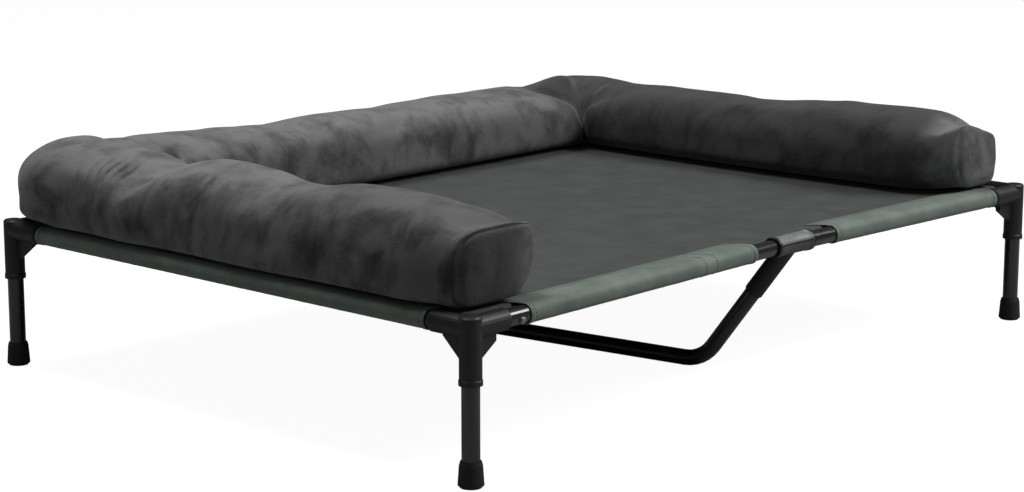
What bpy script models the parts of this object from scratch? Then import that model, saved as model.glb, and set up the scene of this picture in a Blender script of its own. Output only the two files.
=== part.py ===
"""Raised cot with a U bolster: tube frame on four legs, hemmed woven deck, bent support bar, loose bolster.

Metres, +Z up. The origin is on the floor under the middle of the cot. The open front is at -Y and +X is to
the right. The two long rails are the same assembly, turned half round: each is a long and a short half
that meet in a tee, and the deck draws each tee a little inwards.
"""

import math

import bmesh
import bpy
from mathutils import Matrix, Vector

# Frame
LEG_SPACING_X = 1.170
LEG_SPACING_Y = 0.866
FRAME_HEIGHT = 0.205
RAIL_BELOW_TOP = 0.014
TUBE_DIAMETER = 0.0222
TUBE_WALL = 0.0012
TEE_OFFSET = 0.056
TEE_BOW = 0.020

# Clearances
SLIDE_FIT = 0.0003
FACE_GAP = 0.0003

# Corner connector
ARM_LENGTH = 0.060
ARM_DIAMETER = 0.0275
BARREL_DIAMETER = 0.0275
LEG_SOCKET_DEPTH = 0.042
LEG_SOCKET_ROOF = 0.026
SOCKET_LIP = 0.0008
SOCKET_LIP_HEIGHT = 0.006
RAIL_SEAT_DEPTH = 0.012
GUSSET_REACH = 0.041
GUSSET_DROP = 0.040
LONG_GUSSET_LIP = 0.008
SIDE_GUSSET_LIP = 0.001
GUSSET_WIDTH = 0.008
CONNECTOR_EDGE = 0.0020

# Stub tubes in the connector arms
STUB_WALL = 0.0015
STUB_BEYOND_ARM = 0.048
STUB_ROOT = 0.020

# Feet
FOOT_HEIGHT = 0.032
FOOT_TOP_DIAMETER = 0.0285
FOOT_BASE_DIAMETER = 0.0318
FOOT_SHOULDER = 0.005
FOOT_FLOOR = 0.006
FOOT_EDGE = 0.003

# Tee connector and support bar
TEE_HALF_LENGTH = 0.040
TEE_WALL = 0.0022
TEE_FLANGE_LENGTH = 0.008
TEE_FLANGE_STEP = 0.0008
TEE_RAIL_STOP = 0.0015
BAR_SOCKET_LENGTH = 0.090
BAR_SOCKET_WALL = 0.0017
BAR_SOCKET_ROOF = 0.004
BAR_CLEAR_OF_FLOOR = 0.001
BAR_FOOT_INSET = 0.132
BAR_BEND_RADIUS = 0.055

# Snap buttons
BUTTON_FROM_LEG = 0.080
BUTTON_DIAMETER = 0.0095
BUTTON_PROUD = 0.0035
BUTTON_FLANGE = 0.0010
BUTTON_FLANGE_THICKNESS = 0.0012
BUTTON_TILT = math.radians(20)
BUTTON_TRAVEL = 0.0048
SPRING_THICKNESS = 0.0008
SPRING_WIDTH = 0.0080
SPRING_LENGTH = 0.030

# Hemmed sleeves and deck
SLEEVE_THICKNESS = 0.0012
SLEEVE_FROM_LONG_END = 0.095
SLEEVE_FROM_SHORT_END = 0.062
SLEEVE_FROM_SIDE_END = 0.064
SLEEVE_FROM_TEE = 0.089
DECK_THICKNESS = 0.0016
DECK_NOTCH_DEPTH = 0.026
DECK_NOTCH_SLOPE = 0.012

# Bolster
BOLSTER_WIDTH = 0.180
BOLSTER_OVERHANG = 0.017
BOLSTER_ARM_HEIGHT = 0.108
BOLSTER_SETTLED_HEIGHT = 0.089
BOLSTER_LEFT_SETTLES_FROM = 0.540
BOLSTER_RIGHT_SETTLES_FROM = 0.090
BOLSTER_SETTLING_LENGTH = 0.340
BOLSTER_WAIST_FROM_END = 0.350
BOLSTER_WAIST_LENGTH = 0.220
BOLSTER_WAIST_DEPTH = 0.012
BOLSTER_FRONT_INSET = 0.026
BOLSTER_CORNER_RADIUS = 0.085
BOLSTER_INNER_PINCH = 0.012
BOLSTER_CORNER_RISE = 0.012
BOLSTER_END_WIDTH = 0.146
BOLSTER_END_HEIGHT = 0.086
BOLSTER_END_TAPER = 0.070
BOLSTER_END_LEAN = 0.010

# How finely the round pieces are divided
TUBE_SIDES = 24
SMALL_SIDES = 16
BEND_STEPS = 6
BOLSTER_RING = 22
BOLSTER_STATION = 0.060
BOLSTER_CORNER_STEPS = 6

RAIL_Z = FRAME_HEIGHT - RAIL_BELOW_TOP
TUBE_RADIUS = TUBE_DIAMETER / 2
STUB_RADIUS = TUBE_RADIUS - TUBE_WALL - SLIDE_FIT
SLEEVE_BORE = TUBE_RADIUS + SLIDE_FIT
SLEEVE_RADIUS = SLEEVE_BORE + SLEEVE_THICKNESS
DECK_UNDERSIDE = RAIL_Z + SLEEVE_RADIUS + FACE_GAP
DECK_TOP = DECK_UNDERSIDE + DECK_THICKNESS
TEE_RADIUS = TUBE_RADIUS + SLIDE_FIT + TEE_WALL
TEE_FLANGE_RADIUS = TEE_RADIUS + TEE_FLANGE_STEP
BOLSTER_BASE = max(DECK_TOP, FRAME_HEIGHT, RAIL_Z + TEE_FLANGE_RADIUS) + FACE_GAP
UP = Vector((0, 0, 1))


# Materials


def material(name, color, roughness, metallic=0.0):
    made = bpy.data.materials.get(name)
    if made is None:
        made = bpy.data.materials.new(name)
        made.use_nodes = True
        shader = made.node_tree.nodes["Principled BSDF"]
        shader.inputs["Base Color"].default_value = (*color, 1.0)
        shader.inputs["Roughness"].default_value = roughness
        shader.inputs["Metallic"].default_value = metallic
    return made


def moulded_black():
    return material("moulded_black", (0.012, 0.012, 0.012), 0.42)


def painted_black():
    return material("painted_black", (0.010, 0.010, 0.010), 0.30)


def rubber_black():
    return material("rubber_black", (0.009, 0.009, 0.009), 0.70)


def bare_steel():
    return material("bare_steel", (0.45, 0.45, 0.46), 0.35, 1.0)


def button_grey():
    return material("button_grey", (0.055, 0.055, 0.057), 0.38, 0.6)


def woven_deck():
    return material("woven_deck", (0.085, 0.098, 0.095), 0.75)


def woven_sleeve():
    return material("woven_sleeve", (0.140, 0.185, 0.158), 0.70)


def plush_charcoal():
    return material("plush_charcoal", (0.035, 0.036, 0.038), 0.95)


# Shape helpers


def finish(name, bm, surface, matrix=None, smooth=True):
    bmesh.ops.remove_doubles(bm, verts=bm.verts, dist=1e-6)
    bmesh.ops.recalc_face_normals(bm, faces=bm.faces)
    mesh = bpy.data.meshes.new(name)
    bm.to_mesh(mesh)
    bm.free()
    obj = bpy.data.objects.new(name, mesh)
    bpy.context.scene.collection.objects.link(obj)
    if matrix is not None:
        obj.matrix_world = matrix
    if surface is not None:
        mesh.materials.append(surface)
    if smooth:
        mesh.shade_smooth()
        mesh.set_sharp_from_angle(angle=math.radians(35))
    return obj


def turned(name, profile, surface, matrix=None, sides=TUBE_SIDES):
    """A closed (radius, height) outline turned about the object's own Z."""
    bm = bmesh.new()
    points = [bm.verts.new((radius, 0, height)) for radius, height in profile]
    edges = [bm.edges.new((points[i], points[(i + 1) % len(points)])) for i in range(len(points))]
    axis_edges = [e for e in edges if all(abs(v.co.x) < 1e-9 for v in e.verts)]
    for edge in axis_edges:
        edges.remove(edge)
        bm.edges.remove(edge)
    bmesh.ops.spin(
        bm,
        geom=points + edges,
        cent=(0, 0, 0),
        axis=(0, 0, 1),
        angle=math.tau,
        steps=sides,
        use_merge=True,
        use_duplicate=False,
    )
    return finish(name, bm, surface, matrix)


def tube_profile(bore, radius, start, end):
    return [(radius, start), (radius, end), (bore, end), (bore, start)]


def rod_profile(radius, start, end):
    return [(0, start), (radius, start), (radius, end), (0, end)]


def prism(name, outline, low, high, surface, matrix=None):
    """A flat outline of (x, y) points, raised from low to high."""
    bm = bmesh.new()
    base = bm.faces.new([bm.verts.new((x, y, low)) for x, y in outline])
    raised = bmesh.ops.extrude_face_region(bm, geom=[base])
    moved = [v for v in raised["geom"] if isinstance(v, bmesh.types.BMVert)]
    bmesh.ops.translate(bm, verts=moved, vec=(0, 0, high - low))
    return finish(name, bm, surface, matrix, smooth=False)


def along(origin, direction, side=UP):
    """A matrix at origin with its Z along direction and its X towards side."""
    z = Vector(direction).normalized()
    x = (Vector(side) - z * Vector(side).dot(z)).normalized()
    y = z.cross(x)
    turn = Matrix((x, y, z)).transposed().to_4x4()
    return Matrix.Translation(origin) @ turn


def helper(obj):
    obj.hide_render = True
    obj.display_type = "WIRE"
    return obj


def combine(obj, other, operation):
    change = obj.modifiers.new(operation.lower(), "BOOLEAN")
    change.operation = operation
    change.solver = "EXACT"
    change.object = helper(other)


def apply_all(obj):
    """The modifiers are made into the mesh, so that the helpers can go."""
    bpy.context.view_layer.update()
    graph = bpy.context.evaluated_depsgraph_get()
    mesh = bpy.data.meshes.new_from_object(obj.evaluated_get(graph))
    helpers = [m.object for m in obj.modifiers if m.type == "BOOLEAN"]
    obj.modifiers.clear()
    obj.data = mesh
    for used in helpers:
        bpy.data.objects.remove(used, do_unlink=True)
    mesh.shade_smooth()
    mesh.set_sharp_from_angle(angle=math.radians(35))
    return obj


# Layout


def corner_point(side_x, side_y):
    return Vector((side_x * LEG_SPACING_X / 2, side_y * LEG_SPACING_Y / 2, RAIL_Z))


def tee_point(side_y):
    """The tee of the front rail (side_y -1) is right of the middle, and the rear one left of it."""
    return Vector((-side_y * TEE_OFFSET, side_y * (LEG_SPACING_Y / 2 - TEE_BOW), RAIL_Z))


def long_direction(side_x, side_y):
    """From a corner along the long rail, towards its tee."""
    return (tee_point(side_y) - corner_point(side_x, side_y)).normalized()


def side_direction(side_y):
    """From a corner along the side rail."""
    return Vector((0, -side_y, 0))


CORNERS = {
    "front_left": (-1, -1),
    "front_right": (1, -1),
    "rear_left": (-1, 1),
    "rear_right": (1, 1),
}


def is_long_half(side_x, side_y):
    return side_x == side_y


def bar_inward():
    """The level direction from the front tee to the rear tee."""
    return (tee_point(1) - tee_point(-1)).normalized()


def bar_bottom_z():
    return TUBE_RADIUS + BAR_CLEAR_OF_FLOOR


def bar_corner(side_y):
    """Where the sloping and the level run of the support bar would meet."""
    point = tee_point(side_y) - side_y * bar_inward() * BAR_FOOT_INSET
    point.z = bar_bottom_z()
    return point


def bar_direction(side_y):
    """From a tee down the sloping run of the support bar."""
    return (bar_corner(side_y) - tee_point(side_y)).normalized()


# Corner connectors, legs and feet


def gusset(name, corner, direction, lip):
    """A web under an arm, from the barrel out to GUSSET_REACH."""
    barrel = BARREL_DIAMETER / 2
    arm = ARM_DIAMETER / 2
    outline = [
        (barrel * 0.5, -arm * 0.5),
        (GUSSET_REACH, -arm * 0.5),
        (GUSSET_REACH, -arm - lip),
        (barrel - SLIDE_FIT, -GUSSET_DROP),
        (barrel * 0.5, -GUSSET_DROP),
    ]
    sideways = UP.cross(direction)
    turn = Matrix((direction, UP, -sideways)).transposed().to_4x4()
    half = GUSSET_WIDTH / 2
    return prism(name, outline, -half, half, None, Matrix.Translation(corner) @ turn)


def corner_connector(label, side_x, side_y):
    corner = corner_point(side_x, side_y)
    barrel = BARREL_DIAMETER / 2
    arm = ARM_DIAMETER / 2
    edge = CONNECTOR_EDGE
    socket_roof = -LEG_SOCKET_ROOF
    socket_mouth = socket_roof - LEG_SOCKET_DEPTH
    outline = [
        (0, socket_mouth),
        (barrel + SOCKET_LIP, socket_mouth),
        (barrel + SOCKET_LIP, socket_mouth + SOCKET_LIP_HEIGHT),
        (barrel, socket_mouth + SOCKET_LIP_HEIGHT + SOCKET_LIP),
        (barrel, RAIL_BELOW_TOP - edge),
        (barrel - edge, RAIL_BELOW_TOP),
        (0, RAIL_BELOW_TOP),
    ]
    body = turned("corner_" + label, outline, moulded_black(), Matrix.Translation(corner))
    arm_outline = [(0, 0), (arm, 0), (arm, ARM_LENGTH - edge), (arm - edge, ARM_LENGTH), (0, ARM_LENGTH)]
    bore = STUB_RADIUS + SLIDE_FIT
    seat = TUBE_RADIUS + SLIDE_FIT
    seat_start = ARM_LENGTH - RAIL_SEAT_DEPTH
    past_mouth = ARM_LENGTH + edge
    bore_outline = [
        (0, STUB_ROOT - FACE_GAP),
        (bore, STUB_ROOT - FACE_GAP),
        (bore, seat_start),
        (seat, seat_start),
        (seat, past_mouth),
        (0, past_mouth),
    ]
    directions = (long_direction(side_x, side_y), side_direction(side_y))
    for direction, lip in zip(directions, (LONG_GUSSET_LIP, SIDE_GUSSET_LIP)):
        combine(body, turned("arm", arm_outline, None, along(corner, direction)), "UNION")
        combine(body, gusset("gusset", corner, direction, lip), "UNION")
    for direction in directions:
        combine(body, turned("bore", bore_outline, None, along(corner, direction)), "DIFFERENCE")
    socket = rod_profile(TUBE_RADIUS + SLIDE_FIT, socket_mouth - edge, socket_roof)
    combine(body, turned("socket", socket, None, Matrix.Translation(corner)), "DIFFERENCE")
    apply_all(body)


def leg(label, side_x, side_y):
    place = corner_point(side_x, side_y)
    place.z = 0
    top = RAIL_Z - LEG_SOCKET_ROOF - FACE_GAP
    outline = tube_profile(TUBE_RADIUS - TUBE_WALL, TUBE_RADIUS, FOOT_FLOOR + FACE_GAP, top)
    turned("leg_" + label, outline, painted_black(), Matrix.Translation(place))


def foot(label, side_x, side_y):
    place = corner_point(side_x, side_y)
    place.z = 0
    top = FOOT_TOP_DIAMETER / 2
    base = FOOT_BASE_DIAMETER / 2
    bore = TUBE_RADIUS + SLIDE_FIT
    shoulder = FOOT_HEIGHT - FOOT_SHOULDER
    outline = [
        (0, 0),
        (base - FOOT_EDGE, 0),
        (base, FOOT_EDGE),
        (top, shoulder),
        (top - FOOT_EDGE / 2, FOOT_HEIGHT),
        (bore, FOOT_HEIGHT),
        (bore, FOOT_FLOOR),
        (0, FOOT_FLOOR),
    ]
    turned("foot_" + label, outline, rubber_black(), Matrix.Translation(place))


# Stubs, snap buttons and rails


def button_direction(side_x, side_y):
    """Out of the rail, away from the deck, and a little below level."""
    rail = long_direction(side_x, side_y)
    outward = UP.cross(rail)
    if outward.y * side_y < 0:
        outward = -outward
    return outward * math.cos(BUTTON_TILT) - UP * math.sin(BUTTON_TILT)


def button_hole(side_x, side_y):
    centre = corner_point(side_x, side_y) + long_direction(side_x, side_y) * BUTTON_FROM_LEG
    outline = rod_profile(BUTTON_DIAMETER / 2 + SLIDE_FIT, 0, 2 * TUBE_RADIUS)
    place = along(centre, button_direction(side_x, side_y))
    return turned("button_hole", outline, None, place, SMALL_SIDES)


def stub(name, corner, direction, hole=None):
    end = ARM_LENGTH + STUB_BEYOND_ARM
    outline = tube_profile(STUB_RADIUS - STUB_WALL, STUB_RADIUS, STUB_ROOT, end)
    made = turned(name, outline, bare_steel(), along(corner, direction), TUBE_SIDES)
    if hole is not None:
        combine(made, hole, "DIFFERENCE")
        apply_all(made)


def flange_seat():
    """How far from the stub's axis the button's flat flange meets the round bore."""
    bore = STUB_RADIUS - STUB_WALL
    reach = BUTTON_DIAMETER / 2 + BUTTON_FLANGE
    return math.sqrt(bore**2 - reach**2) - FACE_GAP


def snap_button(name, side_x, side_y):
    centre = corner_point(side_x, side_y) + long_direction(side_x, side_y) * BUTTON_FROM_LEG
    radius = BUTTON_DIAMETER / 2
    tip = TUBE_RADIUS + BUTTON_PROUD
    dome = radius * 0.45
    seat = flange_seat()
    outline = [
        (0, seat - BUTTON_FLANGE_THICKNESS),
        (radius + BUTTON_FLANGE, seat - BUTTON_FLANGE_THICKNESS),
        (radius + BUTTON_FLANGE, seat),
        (radius, seat),
        (radius, tip - dome),
    ]
    steps = 4
    for i in range(1, steps):
        angle = math.pi / 2 * i / steps
        outline.append((radius * math.cos(angle), tip - dome + dome * math.sin(angle)))
    outline.append((0, tip))
    place = along(centre, button_direction(side_x, side_y))
    turned(name, outline, button_grey(), place, SMALL_SIDES)


def snap_spring(name, side_x, side_y):
    """A folded leaf in the stub, behind the button, lower than the button goes when it is pressed."""
    rail = long_direction(side_x, side_y)
    centre = corner_point(side_x, side_y) + rail * BUTTON_FROM_LEG
    bore = STUB_RADIUS - STUB_WALL
    half = SPRING_WIDTH / 2
    floor = -math.sqrt(bore**2 - half**2) + FACE_GAP
    pressed = flange_seat() - BUTTON_FLANGE_THICKNESS - BUTTON_TRAVEL - FACE_GAP
    leaf = SPRING_THICKNESS
    start = -BUTTON_DIAMETER / 2
    bend = start + SPRING_LENGTH - 2 * leaf
    outline = [
        (start, floor),
        (bend, floor),
        (bend + 2 * leaf, floor + 2 * leaf),
        (bend, floor + 4 * leaf),
        (BUTTON_DIAMETER / 2, pressed),
        (start, pressed),
        (start, pressed - leaf),
        (BUTTON_DIAMETER / 2, pressed - leaf),
        (bend - leaf, floor + 3 * leaf),
        (bend, floor + 2 * leaf),
        (bend - leaf, floor + leaf),
        (start, floor + leaf),
    ]
    outward = button_direction(side_x, side_y)
    across = rail.cross(outward)
    turn = Matrix((rail, outward, across)).transposed().to_4x4()
    prism(name, outline, -half, half, bare_steel(), Matrix.Translation(centre) @ turn)


def rail(name, start, end, hole=None):
    """A tube from one point to another along its own axis."""
    run = end - start
    outline = tube_profile(TUBE_RADIUS - TUBE_WALL, TUBE_RADIUS, 0, run.length)
    made = turned(name, outline, painted_black(), along(start, run))
    if hole is not None:
        combine(made, hole, "DIFFERENCE")
        apply_all(made)


def rail_start(side_x, side_y, direction):
    seat = ARM_LENGTH - RAIL_SEAT_DEPTH + FACE_GAP
    return corner_point(side_x, side_y) + direction * seat


def long_rails():
    for end, side_y in (("front", -1), ("rear", 1)):
        for side_x in (-1, 1):
            direction = long_direction(side_x, side_y)
            start = rail_start(side_x, side_y, direction)
            stop = tee_point(side_y) - direction * TEE_RAIL_STOP
            if is_long_half(side_x, side_y):
                rail(end + "_rail_long", start, stop, button_hole(side_x, side_y))
            else:
                rail(end + "_rail_short", start, stop)


def side_rails():
    for label, side_x in (("left", -1), ("right", 1)):
        start = rail_start(side_x, -1, side_direction(-1))
        stop = rail_start(side_x, 1, side_direction(1))
        rail("side_rail_" + label, start, stop)


def stubs():
    for label, (side_x, side_y) in CORNERS.items():
        corner = corner_point(side_x, side_y)
        hole = button_hole(side_x, side_y) if is_long_half(side_x, side_y) else None
        stub("stub_long_" + label, corner, long_direction(side_x, side_y), hole)
        stub("stub_side_" + label, corner, side_direction(side_y))


# Tee connectors and support bar


def tee(name, side_y):
    centre = tee_point(side_y)
    radius = TEE_RADIUS
    flange = TEE_FLANGE_RADIUS
    seat = TUBE_RADIUS + SLIDE_FIT
    flange_start = TEE_HALF_LENGTH - TEE_FLANGE_LENGTH
    half = [
        (TEE_HALF_LENGTH, flange - TEE_FLANGE_STEP / 2),
        (TEE_HALF_LENGTH - TEE_FLANGE_STEP / 2, flange),
        (flange_start, flange),
        (flange_start - TEE_FLANGE_STEP, radius),
    ]
    ways = [-long_direction(side_x, side_y) for side_x in (-1, 1)]
    stops = [(centre + ways[0] * reach, wide) for reach, wide in half]
    stops.append((centre, radius))
    stops += [(centre + ways[1] * reach, wide) for reach, wide in reversed(half)]
    body = swept_rod(name, stops, moulded_black())
    socket_radius = TUBE_RADIUS + SLIDE_FIT + BAR_SOCKET_WALL
    socket = [
        (0, 0),
        (socket_radius, 0),
        (socket_radius, BAR_SOCKET_LENGTH - TEE_FLANGE_STEP),
        (socket_radius - TEE_FLANGE_STEP / 2, BAR_SOCKET_LENGTH),
        (0, BAR_SOCKET_LENGTH),
    ]
    down = bar_direction(side_y)
    combine(body, turned("socket", socket, None, along(centre, down)), "UNION")
    past_mouth = TEE_HALF_LENGTH + TEE_WALL
    bore = [(centre + ways[0] * past_mouth, seat), (centre, seat), (centre + ways[1] * past_mouth, seat)]
    combine(body, swept_rod("rail_bore", bore, None), "DIFFERENCE")
    bar_bore = rod_profile(seat, bar_start(), BAR_SOCKET_LENGTH + TEE_WALL)
    combine(body, turned("bar_bore", bar_bore, None, along(centre, down)), "DIFFERENCE")
    apply_all(body)


def bar_start():
    """Where the support bar's bore starts, down the slope from the tee's middle."""
    down = bar_direction(-1)
    lean = math.acos(abs(down.z))
    seat = TUBE_RADIUS + SLIDE_FIT
    return (seat + BAR_SOCKET_ROOF) / math.cos(lean) + seat * math.tan(lean)


def bent_path(points, radius, steps):
    """The points with each inner one replaced by an arc of the given radius."""
    path = [points[0]]
    for before, at, after in zip(points, points[1:], points[2:]):
        into = (at - before).normalized()
        out = (after - at).normalized()
        turn = into.angle(out)
        reach = radius * math.tan(turn / 2)
        centre_way = (out - into).normalized()
        centre = at + centre_way * (radius / math.cos(turn / 2))
        first = at - into * reach - centre
        axis = into.cross(out)
        for i in range(steps + 1):
            path.append(centre + Matrix.Rotation(turn * i / steps, 3, axis) @ first)
    path.append(points[-1])
    return path


def swept_rings(bm, path, radii, normal, sides):
    """A ring of points round each point of a path, square to the path, in a frame that doesn't twist."""
    rings = []
    for i, (point, radius) in enumerate(zip(path, radii)):
        before = path[max(i - 1, 0)]
        after = path[min(i + 1, len(path) - 1)]
        rise = normal.cross((after - before).normalized())
        ring = []
        for k in range(sides):
            angle = math.tau * k / sides
            ring.append(bm.verts.new(point + (normal * math.cos(angle) + rise * math.sin(angle)) * radius))
        rings.append(ring)
    return rings


def bridge_rings(bm, rings):
    for first, second in zip(rings, rings[1:]):
        for k in range(len(first)):
            n = (k + 1) % len(first)
            bm.faces.new((first[k], first[n], second[n], second[k]))


def swept_tube(name, path, radius, bore, surface, sides):
    """An open-ended tube along a path that lies in one upright plane."""
    bm = bmesh.new()
    normal = (path[-1] - path[0]).cross(UP).normalized()
    outer = swept_rings(bm, path, [radius] * len(path), normal, sides)
    inner = swept_rings(bm, path, [bore] * len(path), normal, sides)
    bridge_rings(bm, outer)
    bridge_rings(bm, inner)
    bridge_rings(bm, [outer[0], inner[0]])
    bridge_rings(bm, [outer[-1], inner[-1]])
    return finish(name, bm, surface)


def swept_rod(name, stops, surface):
    """A closed round body through (point, radius) stops that lie in one level plane."""
    bm = bmesh.new()
    path = [point for point, _ in stops]
    radii = [radius for _, radius in stops]
    rings = swept_rings(bm, path, radii, UP, TUBE_SIDES)
    bridge_rings(bm, rings)
    bm.faces.new(rings[0])
    bm.faces.new(rings[-1])
    return finish(name, bm, surface)


def support_bar():
    inset = bar_start() + FACE_GAP
    front = tee_point(-1) + bar_direction(-1) * inset
    rear = tee_point(1) + bar_direction(1) * inset
    points = [front, bar_corner(-1), bar_corner(1), rear]
    path = bent_path(points, BAR_BEND_RADIUS, BEND_STEPS)
    swept_tube("support_bar", path, TUBE_RADIUS, TUBE_RADIUS - TUBE_WALL, painted_black(), TUBE_SIDES)


# Sleeves and deck


def sleeve(name, start, end):
    run = end - start
    outline = tube_profile(SLEEVE_BORE, SLEEVE_RADIUS, 0, run.length)
    turned(name, outline, woven_sleeve(), along(start, run))


def sleeve_inset(side_x, side_y):
    """How far from a leg's axis the sleeve on the long rail starts."""
    return SLEEVE_FROM_LONG_END if is_long_half(side_x, side_y) else SLEEVE_FROM_SHORT_END


def long_sleeve_ends(side_x, side_y):
    direction = long_direction(side_x, side_y)
    start = corner_point(side_x, side_y) + direction * sleeve_inset(side_x, side_y)
    stop = tee_point(side_y) - direction * SLEEVE_FROM_TEE
    return start, stop


def side_sleeve_ends(side_x):
    start = corner_point(side_x, -1) + side_direction(-1) * SLEEVE_FROM_SIDE_END
    stop = corner_point(side_x, 1) + side_direction(1) * SLEEVE_FROM_SIDE_END
    return start, stop


def sleeves():
    for end, side_y in (("front", -1), ("rear", 1)):
        for side_x in (-1, 1):
            kind = "_long" if is_long_half(side_x, side_y) else "_short"
            sleeve("sleeve_" + end + kind, *long_sleeve_ends(side_x, side_y))
    for label, side_x in (("left", -1), ("right", 1)):
        sleeve("sleeve_" + label, *side_sleeve_ends(side_x))


def deck_edge(side_y):
    """The deck's outline along one long rail, from left to right."""
    left_start, left_stop = long_sleeve_ends(-1, side_y)
    right_start, right_stop = long_sleeve_ends(1, side_y)
    inward = Vector((0, -side_y * DECK_NOTCH_DEPTH, 0))
    slope = Vector((DECK_NOTCH_SLOPE, 0, 0))
    side_left = side_sleeve_ends(-1)[0 if side_y < 0 else 1]
    side_right = side_sleeve_ends(1)[0 if side_y < 0 else 1]
    points = [
        side_left,
        Vector((left_start.x - DECK_NOTCH_SLOPE, side_left.y, 0)),
        Vector((left_start.x, side_left.y + side_y * DECK_NOTCH_SLOPE, 0)),
        left_start,
        left_stop,
        left_stop + inward + slope,
        right_stop + inward - slope,
        right_stop,
        right_start,
        Vector((right_start.x, side_right.y + side_y * DECK_NOTCH_SLOPE, 0)),
        Vector((right_start.x + DECK_NOTCH_SLOPE, side_right.y, 0)),
        side_right,
    ]
    return [(point.x, point.y) for point in points]


def deck_panel():
    outline = deck_edge(-1) + deck_edge(1)[::-1]
    prism("deck_panel", outline, DECK_UNDERSIDE, DECK_TOP, woven_deck())


# Bolster


def corner_reach(angle):
    """From the bolster's inner corner to its rounded outer corner, at an angle from the side."""
    nearest = min(math.tan(angle), 1 / math.tan(angle))
    flat = BOLSTER_WIDTH - BOLSTER_CORNER_RADIUS
    if BOLSTER_WIDTH * nearest <= flat:
        return BOLSTER_WIDTH / max(math.cos(angle), math.sin(angle))
    across = flat * (math.cos(angle) + math.sin(angle))
    return across + math.sqrt(across**2 - 2 * flat**2 + BOLSTER_CORNER_RADIUS**2)


def bolster_stations():
    """Where the bolster is cut across: inner edge, outward way, width, distance along and corner share."""
    outer_x = LEG_SPACING_X / 2 + BOLSTER_OVERHANG
    outer_y = LEG_SPACING_Y / 2 + BOLSTER_OVERHANG
    inner_x = outer_x - BOLSTER_WIDTH
    inner_y = outer_y - BOLSTER_WIDTH
    front = -LEG_SPACING_Y / 2 + BOLSTER_FRONT_INSET
    stations = []

    def straight(start, end, way, distance, first, last):
        run = end - start
        count = max(2, round(run.length / BOLSTER_STATION))
        for i in range(first, count + last):
            share = i / count
            stations.append((start + run * share, way, BOLSTER_WIDTH, distance + run.length * share, 0.0))
        return distance + run.length

    def corner(centre, side_x, distance):
        for i in range(1, BOLSTER_CORNER_STEPS):
            share = i / BOLSTER_CORNER_STEPS
            angle = math.pi / 2 * (share if side_x < 0 else 1 - share)
            way = Vector((side_x * math.cos(angle), math.sin(angle), 0))
            corner_share = 1 - abs(2 * share - 1)
            pinch = BOLSTER_INNER_PINCH * corner_share
            stations.append((centre + way * pinch, way, corner_reach(angle) - pinch, distance, corner_share))

    left = Vector((-1, 0, 0))
    right = Vector((1, 0, 0))
    back = Vector((0, 1, 0))
    rear_left = Vector((-inner_x, inner_y, 0))
    rear_right = Vector((inner_x, inner_y, 0))
    distance = straight(Vector((-inner_x, front, 0)), rear_left, left, 0.0, 0, 1)
    corner(rear_left, -1, distance)
    distance = straight(rear_left, rear_right, back, distance, 0, 1)
    corner(rear_right, 1, distance)
    straight(rear_right, Vector((inner_x, front, 0)), right, distance, 0, 1)
    return stations


def smooth_step(value):
    value = min(max(value, 0.0), 1.0)
    return value * value * (3 - 2 * value)


def bolster_height(distance, total, corner_share):
    """Full at both front ends, settled along the back and the right arm, with a waist in the left arm."""
    from_end = min(distance, total - distance)
    is_left = distance < total / 2
    settles_from = BOLSTER_LEFT_SETTLES_FROM if is_left else BOLSTER_RIGHT_SETTLES_FROM
    settled = smooth_step((from_end - settles_from) / BOLSTER_SETTLING_LENGTH)
    full = BOLSTER_ARM_HEIGHT + (BOLSTER_SETTLED_HEIGHT - BOLSTER_ARM_HEIGHT) * settled
    if is_left:
        off_waist = abs(from_end - BOLSTER_WAIST_FROM_END) / (BOLSTER_WAIST_LENGTH / 2)
        full -= BOLSTER_WAIST_DEPTH * smooth_step(1 - off_waist)
    swell = smooth_step(from_end / BOLSTER_END_TAPER)
    height = BOLSTER_END_HEIGHT + (full - BOLSTER_END_HEIGHT) * swell
    return height + BOLSTER_CORNER_RISE * corner_share


def bolster_ring(station, total):
    """The outline of one cut: level below, crowned above, with its sides drawn in towards the deck."""
    inner, way, width, distance, corner_share = station
    height = bolster_height(distance, total, corner_share)
    swell = smooth_step(min(distance, total - distance) / BOLSTER_END_TAPER)
    narrow = (BOLSTER_WIDTH - BOLSTER_END_WIDTH) * (1 - swell)
    half = (width - narrow) / 2
    middle = inner + way * (width / 2)
    roundness = 0.42 + 0.28 * swell
    points = []
    for k in range(BOLSTER_RING):
        angle = math.tau * k / BOLSTER_RING
        across = math.copysign(abs(math.cos(angle)) ** roundness, math.cos(angle))
        lift = math.copysign(abs(math.sin(angle)) ** roundness, math.sin(angle))
        if lift < 0:
            lift = -abs(lift) ** 0.6
            across *= 1 - 0.10 * abs(lift)
        point = middle + way * (half * across)
        lean = BOLSTER_END_LEAN * (1 - swell) * across
        point.z = BOLSTER_BASE + (height - lean) / 2 * (1 + lift)
        points.append(point)
    return points


def bolster():
    stations = bolster_stations()
    total = stations[-1][3]
    bm = bmesh.new()
    rings = [[bm.verts.new(p) for p in bolster_ring(station, total)] for station in stations]
    for first, second in zip(rings, rings[1:]):
        for k in range(BOLSTER_RING):
            n = (k + 1) % BOLSTER_RING
            bm.faces.new((first[k], first[n], second[n], second[k]))
    for ring in (rings[0], rings[-1]):
        bm.faces.new(ring)
    return finish("bolster", bm, plush_charcoal())


def clear_scene():
    for obj in list(bpy.data.objects):
        bpy.data.objects.remove(obj, do_unlink=True)


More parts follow.
